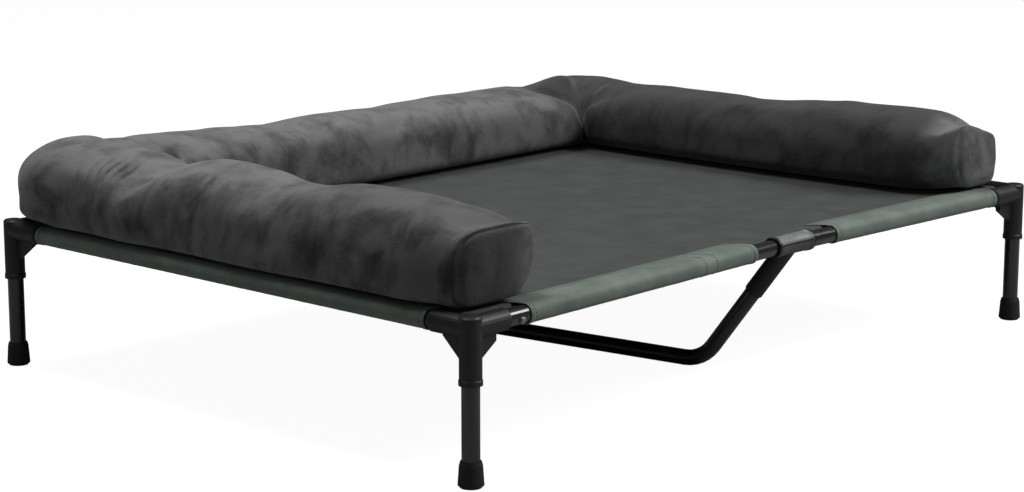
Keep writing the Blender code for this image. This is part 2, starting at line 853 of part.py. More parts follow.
def main():
    clear_scene()
    for label, (side_x, side_y) in CORNERS.items():
        corner_connector(label, side_x, side_y)
        leg(label, side_x, side_y)
        foot(label, side_x, side_y)
    stubs()
    long_rails()
    side_rails()
    for name, side in (("front", -1), ("rear", 1)):
        snap_button(name + "_snap_button", side, side)
        snap_spring(name + "_snap_spring", side, side)
        tee(name + "_tee", side)
    support_bar()
    sleeves()
    deck_panel()
    bolster()


main()
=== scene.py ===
# %% [markdown]
# # A raised pet cot with a U bolster
# A low frame of black steel tube on four legs carries a taut cloth deck, hemmed round its rails,
# and a loose plush bolster lies on three sides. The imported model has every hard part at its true
# size, so this lesson models the cloth and the plush, gives each part its finish, and lights the
# cot in a white studio.

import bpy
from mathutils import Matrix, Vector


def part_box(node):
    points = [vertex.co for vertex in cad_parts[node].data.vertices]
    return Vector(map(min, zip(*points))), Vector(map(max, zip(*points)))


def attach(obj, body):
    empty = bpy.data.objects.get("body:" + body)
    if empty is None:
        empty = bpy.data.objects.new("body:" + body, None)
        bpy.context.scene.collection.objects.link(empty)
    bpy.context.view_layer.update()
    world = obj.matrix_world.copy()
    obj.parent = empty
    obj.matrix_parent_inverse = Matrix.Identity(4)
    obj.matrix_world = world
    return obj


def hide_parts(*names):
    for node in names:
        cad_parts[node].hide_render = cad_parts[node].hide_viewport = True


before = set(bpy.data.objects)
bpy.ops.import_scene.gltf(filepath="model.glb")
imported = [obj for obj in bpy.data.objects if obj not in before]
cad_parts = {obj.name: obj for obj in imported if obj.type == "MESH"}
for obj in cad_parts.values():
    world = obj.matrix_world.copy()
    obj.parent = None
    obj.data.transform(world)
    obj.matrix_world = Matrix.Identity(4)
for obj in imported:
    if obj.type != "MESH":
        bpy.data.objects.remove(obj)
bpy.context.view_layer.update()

# %% [markdown]
# numpy works on many points at once. The sizes that the cloth shares with the rails are in metres,
# with the floor at zero and the open front towards -Y. Each long rail bows inwards to a tee, a
# little off the middle.

# %% Modules and shared sizes
import math
from collections import namedtuple
from itertools import accumulate

import bpy
import numpy as np
from mathutils import Euler, Matrix, Vector, kdtree, noise

LEG_X = 1.170 / 2
LEG_Y = 0.866 / 2
TEE_OFFSET = 0.056
TEE_BOW = 0.020
rail_low, rail_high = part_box("side_rail_left")
RAIL_Z = (rail_low.z + rail_high.z) / 2
RAIL_RADIUS = (rail_high.z - rail_low.z) / 2
print("rails", round(RAIL_Z, 4), "m high and", round(RAIL_RADIUS * 2000, 1), "mm across")

# %% [markdown]
# ## Colours and nodes
# A colour picked from a picture is an sRGB value, but a shader adds light in linear numbers, so
# one function turns one into the other. Another adds a node with its settings and links, so that
# each material reads as a list of what happens to its surface.

# %% Helpers for every material


def linear(hex_colour):
    """The linear colour of an sRGB hex value such as '#2f3032'."""
    shares = [int(hex_colour[i:i + 2], 16) / 255 for i in (1, 3, 5)]
    return (*[s / 12.92 if s <= 0.04045 else ((s + 0.055) / 1.055) ** 2.4 for s in shares], 1.0)


def fill_inputs(tree, node, inputs):
    """Gives each input a value, or a link from a socket or from a node's first output."""
    for name, value in inputs.items():
        if isinstance(value, bpy.types.Node):
            value = value.outputs[0]
        if isinstance(value, bpy.types.NodeSocket):
            tree.links.new(value, node.inputs[name])
        else:
            node.inputs[name].default_value = value


def add_node(tree, kind, inputs=None, stops=(), **settings):
    """Adds a node with its settings, a ramp's (position, hex colour) stops, and its inputs."""
    node = tree.nodes.new("ShaderNode" + kind)
    for name, setting in settings.items():
        setattr(node, name, setting)
    for i, (position, hex_colour) in enumerate(stops):
        node.color_ramp.elements[i].position = position
        node.color_ramp.elements[i].color = linear(hex_colour)
    fill_inputs(tree, node, inputs or {})
    return node


def new_material(name, roughness, **constants):
    """A material, its tree, its shader and the place it colours, in metres in the cot's frame."""
    made = bpy.data.materials.new(name)
    made.use_nodes = True
    tree = made.node_tree
    shader = tree.nodes["Principled BSDF"]
    named = {key.replace("_", " "): value for key, value in constants.items()}
    fill_inputs(tree, shader, {"Roughness": roughness, **named})
    return made, tree, shader, add_node(tree, "TexCoord").outputs["Object"]


def lumps(size, detail=2.0, roughness=0.5, swirl=0.0):
    """A noise's inputs, for lumps about size metres across."""
    return {"Scale": 1 / size, "Detail": detail, "Roughness": roughness, "Distortion": swirl}


def finish_with(tree, shader, coat, *bumps):
    """A colour, and bumps one on another, each a height, its depth in metres and its strength."""
    inputs = {"Base Color": coat}
    for height, depth, strength in bumps:
        bump = {"Height": height, "Distance": depth, "Strength": strength}
        if "Normal" in inputs:
            bump["Normal"] = inputs["Normal"]
        inputs["Normal"] = add_node(tree, "Bump", bump)
    fill_inputs(tree, shader, inputs)


def mottled(name, roughness, colours, drift, grain, bump, **constants):
    """A finish whose colour drifts softly between two, over a fine grain that light catches."""
    made, tree, shader, place = new_material(name, roughness, **constants)
    drifting = add_node(tree, "TexNoise", {"Vector": place, **drift})
    coat = add_node(tree, "ValToRGB", {"Fac": drifting}, stops=zip((0.3, 0.7), colours))
    height = add_node(tree, "TexNoise", {"Vector": place, **grain})
    finish_with(tree, shader, coat, (height, *bump))
    return made


print("linear('#808080') is", round(linear("#808080")[0], 4))

# %% [markdown]
# ## Powder-coated steel tube
# The rails, legs and bar are steel tube, sprayed with black powder and baked. It flows into a
# smooth gloss skin with a faint orange peel. The coat is a dielectric over the steel, so the
# shader isn't metallic: the gloss alone gives the long white streaks.

# %% Powder-coated tube
coated_tube = mottled(
    "powder_coated_steel", 0.26, ("#121213", "#1a1a1b"), lumps(0.060, 3.0),
    lumps(0.0035), bump=(0.00008, 0.6), IOR=1.5, Coat_Weight=0.7, Coat_Roughness=0.12,
)
print("made", coated_tube.name)

# %% [markdown]
# ## Moulded nylon
# Connectors and tees are moulded nylon with glass fibre in it, which leaves a satin skin with a
# fine spark-eroded grain, rubbed a little paler by handling. A tee is two shells with a dark groove
# between them and a black bar socket; its upper half is painted paler as light from above, and its
# lips painted dark as shade. Smooth steps along the rail and up it place those, with no need to cut
# the mesh.

# %% Moulded nylon in two greys
# Where each colour starts and is full: along from the tee's middle, or up from the rail's axis.
TEE_LIPS_PAINTED_SHADE = (0.0345, 0.0352)
PAINTED_TOP_LIGHT = (0.0042, 0.0050)
BAR_SOCKET = (-0.0125, -0.0140)
GROOVE_BOTTOM = (0.0018, 0.0026)
GROOVE_TOP = (0.0044, 0.0036)


def moulded_nylon(name, roughness, colours):
    # The real grain is about 0.1 mm and would never show, so it is drawn at 0.9 mm.
    drift, grain = lumps(0.018, 4.0, 0.6), lumps(0.0009)
    return mottled(name, roughness, colours, drift, grain, bump=(0.00006, 0.7), IOR=1.53)


def mask(tree, *steps):
    """Smooth steps multiplied: each a value, its start and end, and its shares if not 0 and 1."""
    product = None
    for value, start, end, *shares in steps:
        low, high = shares or (0.0, 1.0)
        limits = {"From Min": start, "From Max": end, "To Min": low, "To Max": high}
        step = add_node(
            tree, "MapRange", {"Value": value, **limits}, interpolation_type="SMOOTHSTEP"
        )
        if product is not None:
            step = add_node(tree, "Math", {0: product, 1: step}, operation="MULTIPLY")
        product = step
    return product


def tee_finish():
    """Grey nylon with painted top light on its upper half, a dark parting groove, painted shade at
    its lips, and a black bar socket.
    """
    made = moulded_nylon("moulded_nylon_grey", 0.38, ("#3a3b3d", "#4d4e50"))
    tree = made.node_tree
    shader = tree.nodes["Principled BSDF"]
    place = add_node(tree, "TexCoord").outputs["Object"]
    x, _, z = add_node(tree, "SeparateXYZ", {"Vector": place}).outputs
    # Painted top light: the half above the rail's axis is a paler grey, as where light falls on it.
    top_light_drift = add_node(tree, "TexNoise", {"Vector": place, **lumps(0.006, 4.0, 0.6)})
    painted_top_colour = add_node(tree, "ValToRGB", {"Fac": top_light_drift}, stops=((0.3, "#6a6b6d"), (0.7, "#8a8b8d")))

    def by_height(span):
        return z, RAIL_Z + span[0], RAIL_Z + span[1]

    lower = shader.inputs["Base Color"].links[0].from_socket
    top_light_share = mask(tree, by_height(PAINTED_TOP_LIGHT))
    coat = add_node(tree, "MixRGB", {"Fac": top_light_share, "Color1": lower, "Color2": painted_top_colour})
    across = add_node(tree, "Math", {0: x}, operation="ABSOLUTE")
    along = add_node(tree, "Math", {0: across, 1: TEE_OFFSET}, operation="SUBTRACT")
    along = add_node(tree, "Math", {0: along}, operation="ABSOLUTE")
    # Painted shade at the tee's lips; the bar socket is black and the parting groove dark in their
    # own colour.
    black_and_painted_shade = mask(tree, (along, *TEE_LIPS_PAINTED_SHADE))
    for spans in ((BAR_SOCKET,), (GROOVE_BOTTOM, GROOVE_TOP)):
        other = mask(tree, *[by_height(span) for span in spans])
        black_and_painted_shade = add_node(tree, "Math", {0: black_and_painted_shade, 1: other}, operation="MAXIMUM")
    coat = add_node(tree, "MixRGB", {"Fac": black_and_painted_shade, "Color1": coat, "Color2": linear("#101011")})
    finish_with(tree, shader, coat)
    return made


corner_nylon = moulded_nylon("moulded_nylon_black", 0.50, ("#131314", "#212122"))
tee_nylon = tee_finish()
print("made", corner_nylon.name, "and", tee_nylon.name)

# %% [markdown]
# ## Rubber, zinc and the button's steel
# The feet are soft black rubber, matt, with a bloom in patches. The hidden stubs and leaf springs
# are zinc-plated, so they are metal with a cloudy shine, and the snap buttons are blackened turned
# steel with a duller one.

# %% Rubber, zinc and blackened steel
foot_rubber = mottled(
    "moulded_rubber", 0.78, ("#151516", "#222223"), lumps(0.012, 5.0, 0.6),
    lumps(0.0012), bump=(0.0001, 0.6), IOR=1.52,
)
zinc_plate, black_button = [
    mottled(
        name, roughness, colours, lumps(0.010, 3.0), lumps(0.0008, 1.0),
        bump=(0.00003, 0.5), Metallic=1.0,
    )
    for name, roughness, colours in (
        ("zinc_plated_steel", 0.36, ("#9a9b9e", "#b9babd")),
        ("blackened_turned_steel", 0.55, ("#8a8b8e", "#a5a6a9")),
    )
]
print("made", foot_rubber.name, zinc_plate.name, black_button.name)

# %% [markdown]
# ## Put the finishes on the hard parts
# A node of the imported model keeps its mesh, and only its material changes. Going through the names
# by what each begins with leaves no part plain grey.

# %% Assign the hard parts' finishes
finishes = (
    (coated_tube, ("leg_", "front_rail", "rear_rail", "side_rail", "support_bar")),
    (corner_nylon, ("corner_",)),
    (tee_nylon, ("front_tee", "rear_tee")),
    (foot_rubber, ("foot_",)),
    (zinc_plate, ("stub_", "front_snap_spring", "rear_snap_spring")),
    (black_button, ("front_snap_button", "rear_snap_button")),
)
dressed = 0
for name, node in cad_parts.items():
    for finish, starts in finishes:
        if name.startswith(starts):
            node.data.materials.clear()
            node.data.materials.append(finish)
            dressed += 1
print("dressed", dressed, "hard parts")

# %% [markdown]
# ## Where the hems run
# The deck's hem is a sage green sleeve sewn to each stretch of rail. It starts a little way from
# the corner connector and stops before the tee, which leaves the bare tube and the snap button
# free. Two points on the rail's axis describe each.

# %% The six stretches of hem
HEM_FROM_LONG_END = 0.095
HEM_FROM_SHORT_END = 0.062
HEM_FROM_SIDE_END = 0.064
HEM_FROM_TEE = 0.089


def rail_corner(side_x, side_y):
    return Vector((side_x * LEG_X, side_y * LEG_Y, RAIL_Z))


hems = {}
for end, side_y in (("front", -1), ("rear", 1)):
    tee = Vector((-side_y * TEE_OFFSET, side_y * (LEG_Y - TEE_BOW), RAIL_Z))
    for side_x in (-1, 1):
        half, away = "_short", HEM_FROM_SHORT_END
        if side_x == side_y:
            half, away = "_long", HEM_FROM_LONG_END
        way = (tee - rail_corner(side_x, side_y)).normalized()
        hems[end + half] = (rail_corner(side_x, side_y) + way * away, tee - way * HEM_FROM_TEE)
for side, side_x in (("left", -1), ("right", 1)):
    along_y = Vector((0, HEM_FROM_SIDE_END, 0))
    hems[side] = (rail_corner(side_x, -1) + along_y, rail_corner(side_x, 1) - along_y)
for name, (start, stop) in hems.items():
    print(name, "hem runs", round((stop - start).length * 1000), "mm")

# %% [markdown]
# ## How the deck hangs
# The hem pulls the deck from the top of each rail, so the cloth falls a few millimetres just
# inside it, and then sags slowly to its middle. The deck, the hems and the bolster's underside
# must agree, so one function gives the dip.

# %% The deck's dip
CLOTH = 0.0010
EDGE_DROP = 0.0045
EDGE_WIDTH = 0.060
MIDDLE_SAG = 0.008


def smooth_step(value):
    value = min(max(value, 0.0), 1.0)
    return value * value * (3 - 2 * value)


def window(value, centre, reach):
    """1 at the centre, falling smoothly to 0 at the reach on both sides."""
    return smooth_step(1 - abs(value - centre) / reach)


def rail_line(x, side_y):
    """How far the long rail's axis stands from the middle line, at x."""
    middle = -side_y * TEE_OFFSET
    end = LEG_X if x > middle else -LEG_X
    return LEG_Y - TEE_BOW * (1 - (x - middle) / (end - middle))


def dip(x, y):
    """How far the cloth lies under the rails' tops at a place."""
    edge = rail_line(x, 1 if y > 0 else -1)
    inside = min(LEG_X - abs(x), edge - abs(y))
    sag = MIDDLE_SAG * max(0.0, 1 - (x / LEG_X) ** 2) * max(0.0, 1 - (y / edge) ** 2)
    return EDGE_DROP * smooth_step(inside / EDGE_WIDTH) + sag


print("dip in the middle", round(dip(0, 0) * 1000, 1), "mm")

# %% [markdown]
# ## Woven cloth
# Both cloths are coated polyester in a plain weave, over one and under one. A real thread is half
# a millimetre and is lost at this distance, so it is drawn three times as wide. The pattern reads
# the cloth's own UV map, laid out in metres, so that it turns over the rail with the cloth.

# %% The woven cloth's finish
THREAD = 0.0016


def woven_cloth(name, roughness, colours, sheen, depth):
    """A plain weave, faded in patches and a little slack, with a fine relief at each crossing."""
    made, tree, shader, place = new_material(
        name, roughness, IOR=1.45, Sheen_Weight=sheen, Sheen_Roughness=0.45
    )
    flat = add_node(tree, "UVMap", uv_map="cloth")
    # A wave of scale 1 has a band every 2 pi / 20 of a metre.
    bands = {"Vector": flat, "Scale": 2 * math.pi / (20 * THREAD), "Distortion": 0.3}
    warp, weft = [
        add_node(tree, "TexWave", bands, bands_direction=way).outputs["Fac"] for way in "XY"
    ]
    crossing = add_node(tree, "Math", {0: warp, 1: weft}, operation="MULTIPLY")
    fading = add_node(tree, "TexNoise", {"Vector": place, **lumps(0.045, 5.0, 0.62)})
    slack = add_node(tree, "TexNoise", {"Vector": place, **lumps(0.011)})
    mixed = add_node(tree, "Math", {0: crossing, 1: 0.35, 2: fading}, operation="MULTIPLY_ADD")
    coat = add_node(tree, "ValToRGB", {"Fac": mixed}, stops=zip((0.3, 1.0), colours))
    finish_with(tree, shader, coat, (slack, 0.0006, 0.5), (crossing, depth, 0.8))
    return made


def sewing_thread(name, colours):
    """Polyester thread, twisted, so that it shows slanting bands."""
    made, tree, shader, place = new_material(name, 0.5, IOR=1.5, Sheen_Weight=0.3)
    bands = {"Vector": place, "Scale": 180.0}
    twist = add_node(tree, "TexWave", bands, bands_direction="DIAGONAL").outputs["Fac"]
    coat = add_node(tree, "ValToRGB", {"Fac": twist}, stops=zip((0.0, 1.0), colours))
    finish_with(tree, shader, coat, (twist, 0.0001, 0.5))
    return made


hem_cloth = woven_cloth("coated_weave_sage", 0.58, ("#56645a", "#838f86"), 0.20, 0.00025)
deck_cloth = woven_cloth("coated_weave_grey", 0.66, ("#313333", "#4d4f4f"), 0.15, 0.00030)
hem_thread = sewing_thread("polyester_thread_green", ("#3f4a42", "#5d6a60"))
print("made", hem_cloth.name, deck_cloth.name, hem_thread.name)

# %% [markdown]
# ## Cloth from points
# A sheet of cloth is a grid of points with a flat place for each, in metres. These helpers make
# the faces, write the UV map and turn the faces outwards, so that every soft piece only has to say
# where its points are.

# %% Helpers for pieces made from points


def select_only(piece):
    bpy.ops.object.select_all(action="DESELECT")
    piece.select_set(True)
    bpy.context.view_layer.objects.active = piece


def mesh_piece(name, points, faces, finish, flat=None):
    """An object at the origin, from points and faces and a flat place for each point."""
    mesh = bpy.data.meshes.new(name)
    mesh.from_pydata([tuple(p) for p in points], [], faces)
    if flat is not None:
        layer = mesh.uv_layers.new(name="cloth")
        for loop, place in zip(mesh.loops, layer.data):
            place.uv = flat[loop.vertex_index]
    mesh.materials.append(finish)
    piece = bpy.data.objects.new(name, mesh)
    bpy.context.scene.collection.objects.link(piece)
    select_only(piece)
    bpy.ops.object.mode_set(mode="EDIT")
    bpy.ops.mesh.select_all(action="SELECT")
    bpy.ops.mesh.normals_make_consistent(inside=False)
    bpy.ops.object.mode_set(mode="OBJECT")
    return piece


def smooth_faces(piece, degrees):
    select_only(piece)
    bpy.ops.object.shade_smooth_by_angle(angle=math.radians(degrees))


def grid_faces(rows, columns, closed=False):
    """Faces of points listed row by row; closed joins the last column to the first."""
    corners = [
        (r * columns + c, r * columns + (c + 1) % columns)
        for r in range(rows - 1)
        for c in range(columns if closed else columns - 1)
    ]
    return [(a, b, b + columns, a + columns) for a, b in corners]


def apply_modifier(piece, kind, **settings):
    """Adds a modifier with its settings and leaves its result in the mesh."""
    select_only(piece)
    modifier = piece.modifiers.new(kind, kind)
    for name, setting in settings.items():
        setattr(modifier, name, setting)
    bpy.ops.object.modifier_apply(modifier=modifier.name)


def ripple(place, size, seed):
    """A smooth random value from about -1 to 1 that changes over about size metres."""
    return noise.noise(Vector(place) / size + Vector((seed, 0.7 * seed, 0.3 * seed)))


print("cloth is", CLOTH * 1000, "mm thick")

# %% [markdown]
# ## Stitches
# A stitch shows as a short bead of thread. One bead is modelled once, with a few dozen faces, and
# laid along a line as often as it fits, leaning a little, as a lock stitch does.

# %% One bead of thread, laid along lines
STITCH_LENGTH = 0.0034
STITCH_PITCH = 0.0046
STITCH_RADIUS = 0.00048
STITCH_LEAN = 0.12
STITCH_PROUD = 0.35
BEAD_RINGS = [(-0.5, 0.35), (-0.36, 0.85), (0.0, 1.0), (0.36, 0.85), (0.5, 0.35)]
BEAD_SIDES = 6


def bead():
    points = []
    for along, size in BEAD_RINGS:
        for turn in (2 * math.pi * k / BEAD_SIDES for k in range(BEAD_SIDES)):
            radius = STITCH_RADIUS * size
            points.append((along * STITCH_LENGTH, radius * math.cos(turn), radius * math.sin(turn)))
    faces = grid_faces(len(BEAD_RINGS), BEAD_SIDES, closed=True)
    last = (len(BEAD_RINGS) - 1) * BEAD_SIDES
    faces += [tuple(range(BEAD_SIDES))[::-1], tuple(range(last, last + BEAD_SIDES))]
    return np.array(points), faces


def point_at(along, lengths, values):
    return np.array([np.interp(along, lengths, column) for column in values.T])


def unit(vector):
    return vector / max(np.linalg.norm(vector), 1e-9)


def sew(name, lines, finish):
    """One piece of stitches along lines of (point, normal), each followed at the stitch pitch."""
    bead_points, bead_faces = bead()
    points, faces = [], []
    for line in lines:
        places, normals = [np.array([tuple(pair[k]) for pair in line]) for k in (0, 1)]
        steps = np.linalg.norm(np.diff(places, axis=0), axis=1)
        lengths = np.concatenate([[0.0], np.cumsum(steps)])
        for along in np.arange(STITCH_PITCH / 2, lengths[-1], STITCH_PITCH):
            behind, here, ahead = [
                point_at(along + step, lengths, places) for step in (-0.001, 0.0, 0.001)
            ]
            up = point_at(along, lengths, normals)
            way = unit(ahead - behind)
            way = unit(way + STITCH_LEAN * unit(np.cross(up, way)))
            up = unit(np.cross(way, np.cross(up, way)))
            turned = bead_points @ np.array([way, np.cross(up, way), up])
            faces += [tuple(i + len(points) for i in face) for face in bead_faces]
            points += [tuple(p) for p in turned + here + up * STITCH_RADIUS * STITCH_PROUD]
    piece = mesh_piece(name, points, faces, finish)
    smooth_faces(piece, 80)
    return piece


print("one stitch has", len(bead()[1]), "faces, every", STITCH_PITCH * 1000, "mm")

# %% [markdown]
# ## The hems
# The hem's cloth comes out over the rail, goes round it and back in underneath, and is sewn to the
# deck 45 mm in, so its section is a drop. At both ends it is folded under and stitched, so it
# stands a little prouder there, with a fine groove.

# %% The hem's drop-shaped cross-section
HEM_REACH = 0.045
HEM_RADIUS = RAIL_RADIUS + 0.0004 + CLOTH / 2
SEAM_DROP = 2.2 * CLOTH
TOP_STEPS, ROUND_STEPS, LOWER_STEPS = 7, 26, 6
FOLD = 0.0075
FOLD_PROUD = 0.0006
GROOVE_DEPTH = 0.00025


def drop_outline():
    """Seam to seam: (inward, up, normal inward, normal up, share of the dip, length so far)."""
    seam_up = HEM_RADIUS - SEAM_DROP
    leaves = 2 * math.pi + math.atan2(seam_up, HEM_REACH)
    leaves -= math.acos(HEM_RADIUS / math.hypot(HEM_REACH, seam_up))
    points = [
        (HEM_REACH * (1 - i / TOP_STEPS), HEM_RADIUS, 0.0, 1.0, 1.0) for i in range(TOP_STEPS)
    ]
    for i in range(ROUND_STEPS + 1):
        angle = math.pi / 2 + (leaves - math.pi / 2) * i / ROUND_STEPS
        way_in, way_up = math.cos(angle), math.sin(angle)
        points.append((HEM_RADIUS * way_in, HEM_RADIUS * way_up, way_in, way_up, 0.0))
    last_in, last_up = points[-1][:2]
    for i in range(1, LOWER_STEPS + 1):
        inward = last_in + (HEM_REACH - last_in) * i / LOWER_STEPS
        up = last_up + (seam_up - last_up) * i / LOWER_STEPS
        points.append((inward, up, math.cos(leaves), math.sin(leaves), i / LOWER_STEPS))
    steps = [0.0, *[math.dist(a[:2], b[:2]) for a, b in zip(points, points[1:])]]
    return [(*p, length) for p, length in zip(points, accumulate(steps))]


def fold_height(from_end):
    """The folded end stands proud, and the stitched groove behind it is pulled in."""
    if from_end > FOLD:
        return -GROOVE_DEPTH * window(from_end, 0.0080, 0.0018)
    stitched = 1 - 1.3 * smooth_step((from_end - 0.006) / 0.0015)
    return FOLD_PROUD * smooth_step(from_end / 0.0014) * stitched


outline = drop_outline()

# %% [markdown]
# The drop is swept along the rail, in shorter steps at the folded ends, and puckers a hair's
# breadth. A hem is a sheet held stretched, and its stitches belong to it: two rows along the seam,
# one round each end, and two rows of tacking on the long front hem.

# %% Sweep the six hems and sew them
HEM_STEP = 0.006
FOLD_STATIONS = (0.0, 0.0006, 0.0014, 0.004, 0.0062, 0.0070, 0.0080, 0.0092)
FOLD_END = 0.0110
PUCKER = 0.00045
TACKS_FROM_TEE = {"front_long": (0.114, 0.089)}


def hem(side, start, stop, seed):
    way = (stop - start).normalized()
    inward = Vector((-way.y, way.x, 0))
    if inward.dot(start) > 0:
        inward = -inward
    run = (stop - start).length
    inner = run - 2 * FOLD_END
    count = round(inner / HEM_STEP)
    stations = [*FOLD_STATIONS, *[FOLD_END + inner * i / count for i in range(count + 1)]]
    stations += [run - from_end for from_end in reversed(FOLD_STATIONS)]
    flat, rows = [], []
    for along in stations:
        rows.append([])
        for reach, up, normal_in, normal_up, dips, length in outline:
            spot = start + way * along + inward * reach
            pucker = PUCKER * max(0.0, ripple((along, length * 0.35, 0), 0.013, seed))
            proud = pucker + fold_height(min(along, run - along))
            proud *= 1 - max(0.0, reach / HEM_REACH) ** 2
            normal = inward * normal_in + Vector((0, 0, normal_up))
            spot = spot + Vector((0, 0, up - dips * dip(spot.x, spot.y))) + normal * proud
            rows[-1].append((spot, normal))
            flat.append((along, length))
    points = [spot for row in rows for spot, _ in row]
    faces = grid_faces(len(stations), len(outline))
    piece = mesh_piece("hem_" + side, points, faces, hem_cloth, flat)
    apply_modifier(piece, "SOLIDIFY", thickness=CLOTH, offset=0.0)
    smooth_faces(piece, 50)
    tacks = [
        min(range(len(stations)), key=lambda k: abs(run - stations[k] - away))
        for away in TACKS_FROM_TEE.get(side, ())
    ]
    lines = [[row[k] for row in rows[4:-4]] for k in (1, 2)]
    lines += [rows[k][:-LOWER_STEPS] for k in (6, -7, *tacks)]
    lifted = [[(spot + normal * (CLOTH / 2), normal) for spot, normal in line] for line in lines]
    stitches = sew("stitches_" + side, lifted, hem_thread)
    for made in (piece, stitches):
        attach(made, "frame")
    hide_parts("sleeve_" + side)
    return piece


for seed, (side, (start, stop)) in enumerate(hems.items(), 3):
    made = hem(side, start, stop, seed)
    print(made.name, len(made.data.polygons), "faces")

# %% [markdown]
# ## The deck
# The deck is one cut of grey cloth that reaches under the hems, up to the bare rails at the tees,
# with rounded corners. Its grid follows both bowed rails, one cloth's thickness under the hems.
# Where no hem covers its edge, the edge is turned down.

# %% The deck's edge and surface
DECK_REACH = 0.016
DECK_REACH_AT_TEE = 0.0125
DECK_CORNER = 0.010
DECK_COLUMNS = 150
DECK_ROWS = 110
TURNED_DOWN = 0.0035
TURN_WIDTH = 0.003
BARE_OVER_TEE = 0.012
BARE_OVER_CORNER = 0.008


def at_tee(x, side_y):
    """1 between the two hems at the tee, 0 where a hem covers the deck's edge."""
    from_tee = abs(x + side_y * TEE_OFFSET)
    return smooth_step((HEM_FROM_TEE + BARE_OVER_TEE - from_tee) / BARE_OVER_TEE)


def past_hem(x, y, side_y):
    """1 in the corner beyond both hems' ends, 0 where a hem covers the deck's edge."""
    long_half = (1 if x > 0 else -1) == side_y
    away = HEM_FROM_LONG_END if long_half else HEM_FROM_SHORT_END
    return max(
        smooth_step((abs(x) - (LEG_X - away - BARE_OVER_CORNER)) / BARE_OVER_CORNER),
        smooth_step((abs(y) - (LEG_Y - HEM_FROM_SIDE_END - BARE_OVER_CORNER)) / BARE_OVER_CORNER),
    )


def deck_edge(x, side_y):
    """How far the deck reaches from the middle line at x, rounded at its corners."""
    into_corner = min(1.0, (abs(x) - (LEG_X - DECK_REACH - DECK_CORNER)) / DECK_CORNER)
    cut = DECK_CORNER * (1 - math.sqrt(1 - into_corner**2)) if into_corner > 0 else 0.0
    reach = DECK_REACH + (DECK_REACH_AT_TEE - DECK_REACH) * at_tee(x, side_y)
    return rail_line(x, side_y) - reach - cut


def spaced(i, count):
    """From -1 to 1 in count steps that grow shorter towards both ends."""
    even = 2 * i / count - 1
    return 0.6 * even + 0.4 * math.sin(math.pi / 2 * even)


columns, flat = [], []
half = LEG_X - DECK_REACH
for i in range(DECK_COLUMNS + 1):
    columns.append([])
    x = half * spaced(i, DECK_COLUMNS)
    front, rear = -deck_edge(x, -1), deck_edge(x, 1)
    for j in range(DECK_ROWS + 1):
        y = front + (rear - front) * (0.5 + 0.5 * spaced(j, DECK_ROWS))
        side_y = 1 if y > 0 else -1
        crease = 0.0005 * ripple((x, y * 0.4, 0), 0.05, 11)
        crease += 0.0003 * ripple((x * 0.4, y, 0), 0.03, 17)
        bare = max(at_tee(x, side_y), past_hem(x, y, side_y))
        from_edge = min(y - front, rear - y, half - abs(x))
        turned = bare * TURNED_DOWN * smooth_step(1 - from_edge / TURN_WIDTH)
        z = RAIL_Z + HEM_RADIUS - 1.1 * CLOTH - dip(x, y) + min(0.0, crease) - turned
        columns[-1].append((x, y, z))
        flat.append((x, y))
points = [point for column in columns for point in column]
faces = grid_faces(DECK_COLUMNS + 1, DECK_ROWS + 1)
deck = mesh_piece("deck_sheet", points, faces, deck_cloth, flat)
apply_modifier(deck, "SOLIDIFY", thickness=CLOTH, offset=0.0)
smooth_faces(deck, 50)
deck_area = sum(
    (b[0][0] - a[0][0]) * (a[-1][1] - a[0][1] + b[-1][1] - b[0][1]) / 2
    for a, b in zip(columns, columns[1:])
)
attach(deck, "frame")
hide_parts("deck_panel")
print("deck", round(2 * half, 3), "m wide, cut area", round(deck_area, 4), "m2")

# %% [markdown]
# ## Plush
# The bolster's cover is a short-pile plush. Pile scatters light at grazing angles, so edges look
# paler than faces: that is the shader's sheen. Brushing leaves the pile lying different ways,
# which reads as soft mottling, drawn out along the tube.
#
# Smooth masks paint shade into the colour, standing in for light that falls unevenly: on the
# flanks, the right arm's inner face, the ends, the near left part and three patches on the left
# arm. The rear left corner gets less painted shade, the tops a painted paler grey, and the folds
# painted shade: the mesh carries the folds' depth as an attribute, written when they are made.

# %% The plush's finish
# Painted shade: its share on the flanks, how much less at the rear left corner, in the folds, and at
# most.
FLANK_PAINTED_SHADE = 0.62
CORNER_LESS_PAINTED_SHADE = 0.30
FOLD_PAINTED_SHADE = 0.50
MOST_PAINTED_SHADE = 0.78
# Painted shade patches on the left arm: each patch's centre and reach.
PAINTED_SHADE_PATCHES = (
    ((-0.585, -0.270, 0.285), 0.085),
    ((-0.600, -0.390, 0.250), 0.055),
    ((-0.590, 0.080, 0.298), 0.060),
)


def painted_shade_patch(tree, place, wander, centre, reach):
    """A painted shade mask round one place, with an edge that wanders as the noise does."""
    away = add_node(tree, "VectorMath", {0: place, 1: centre}, operation="DISTANCE")
    away = add_node(
        tree, "Math", {0: wander, 1: 0.16, 2: away.outputs["Value"]}, operation="MULTIPLY_ADD"
    )
    return mask(tree, (away, reach + 0.08, 0.25 * reach + 0.08, 0.0, 0.72))


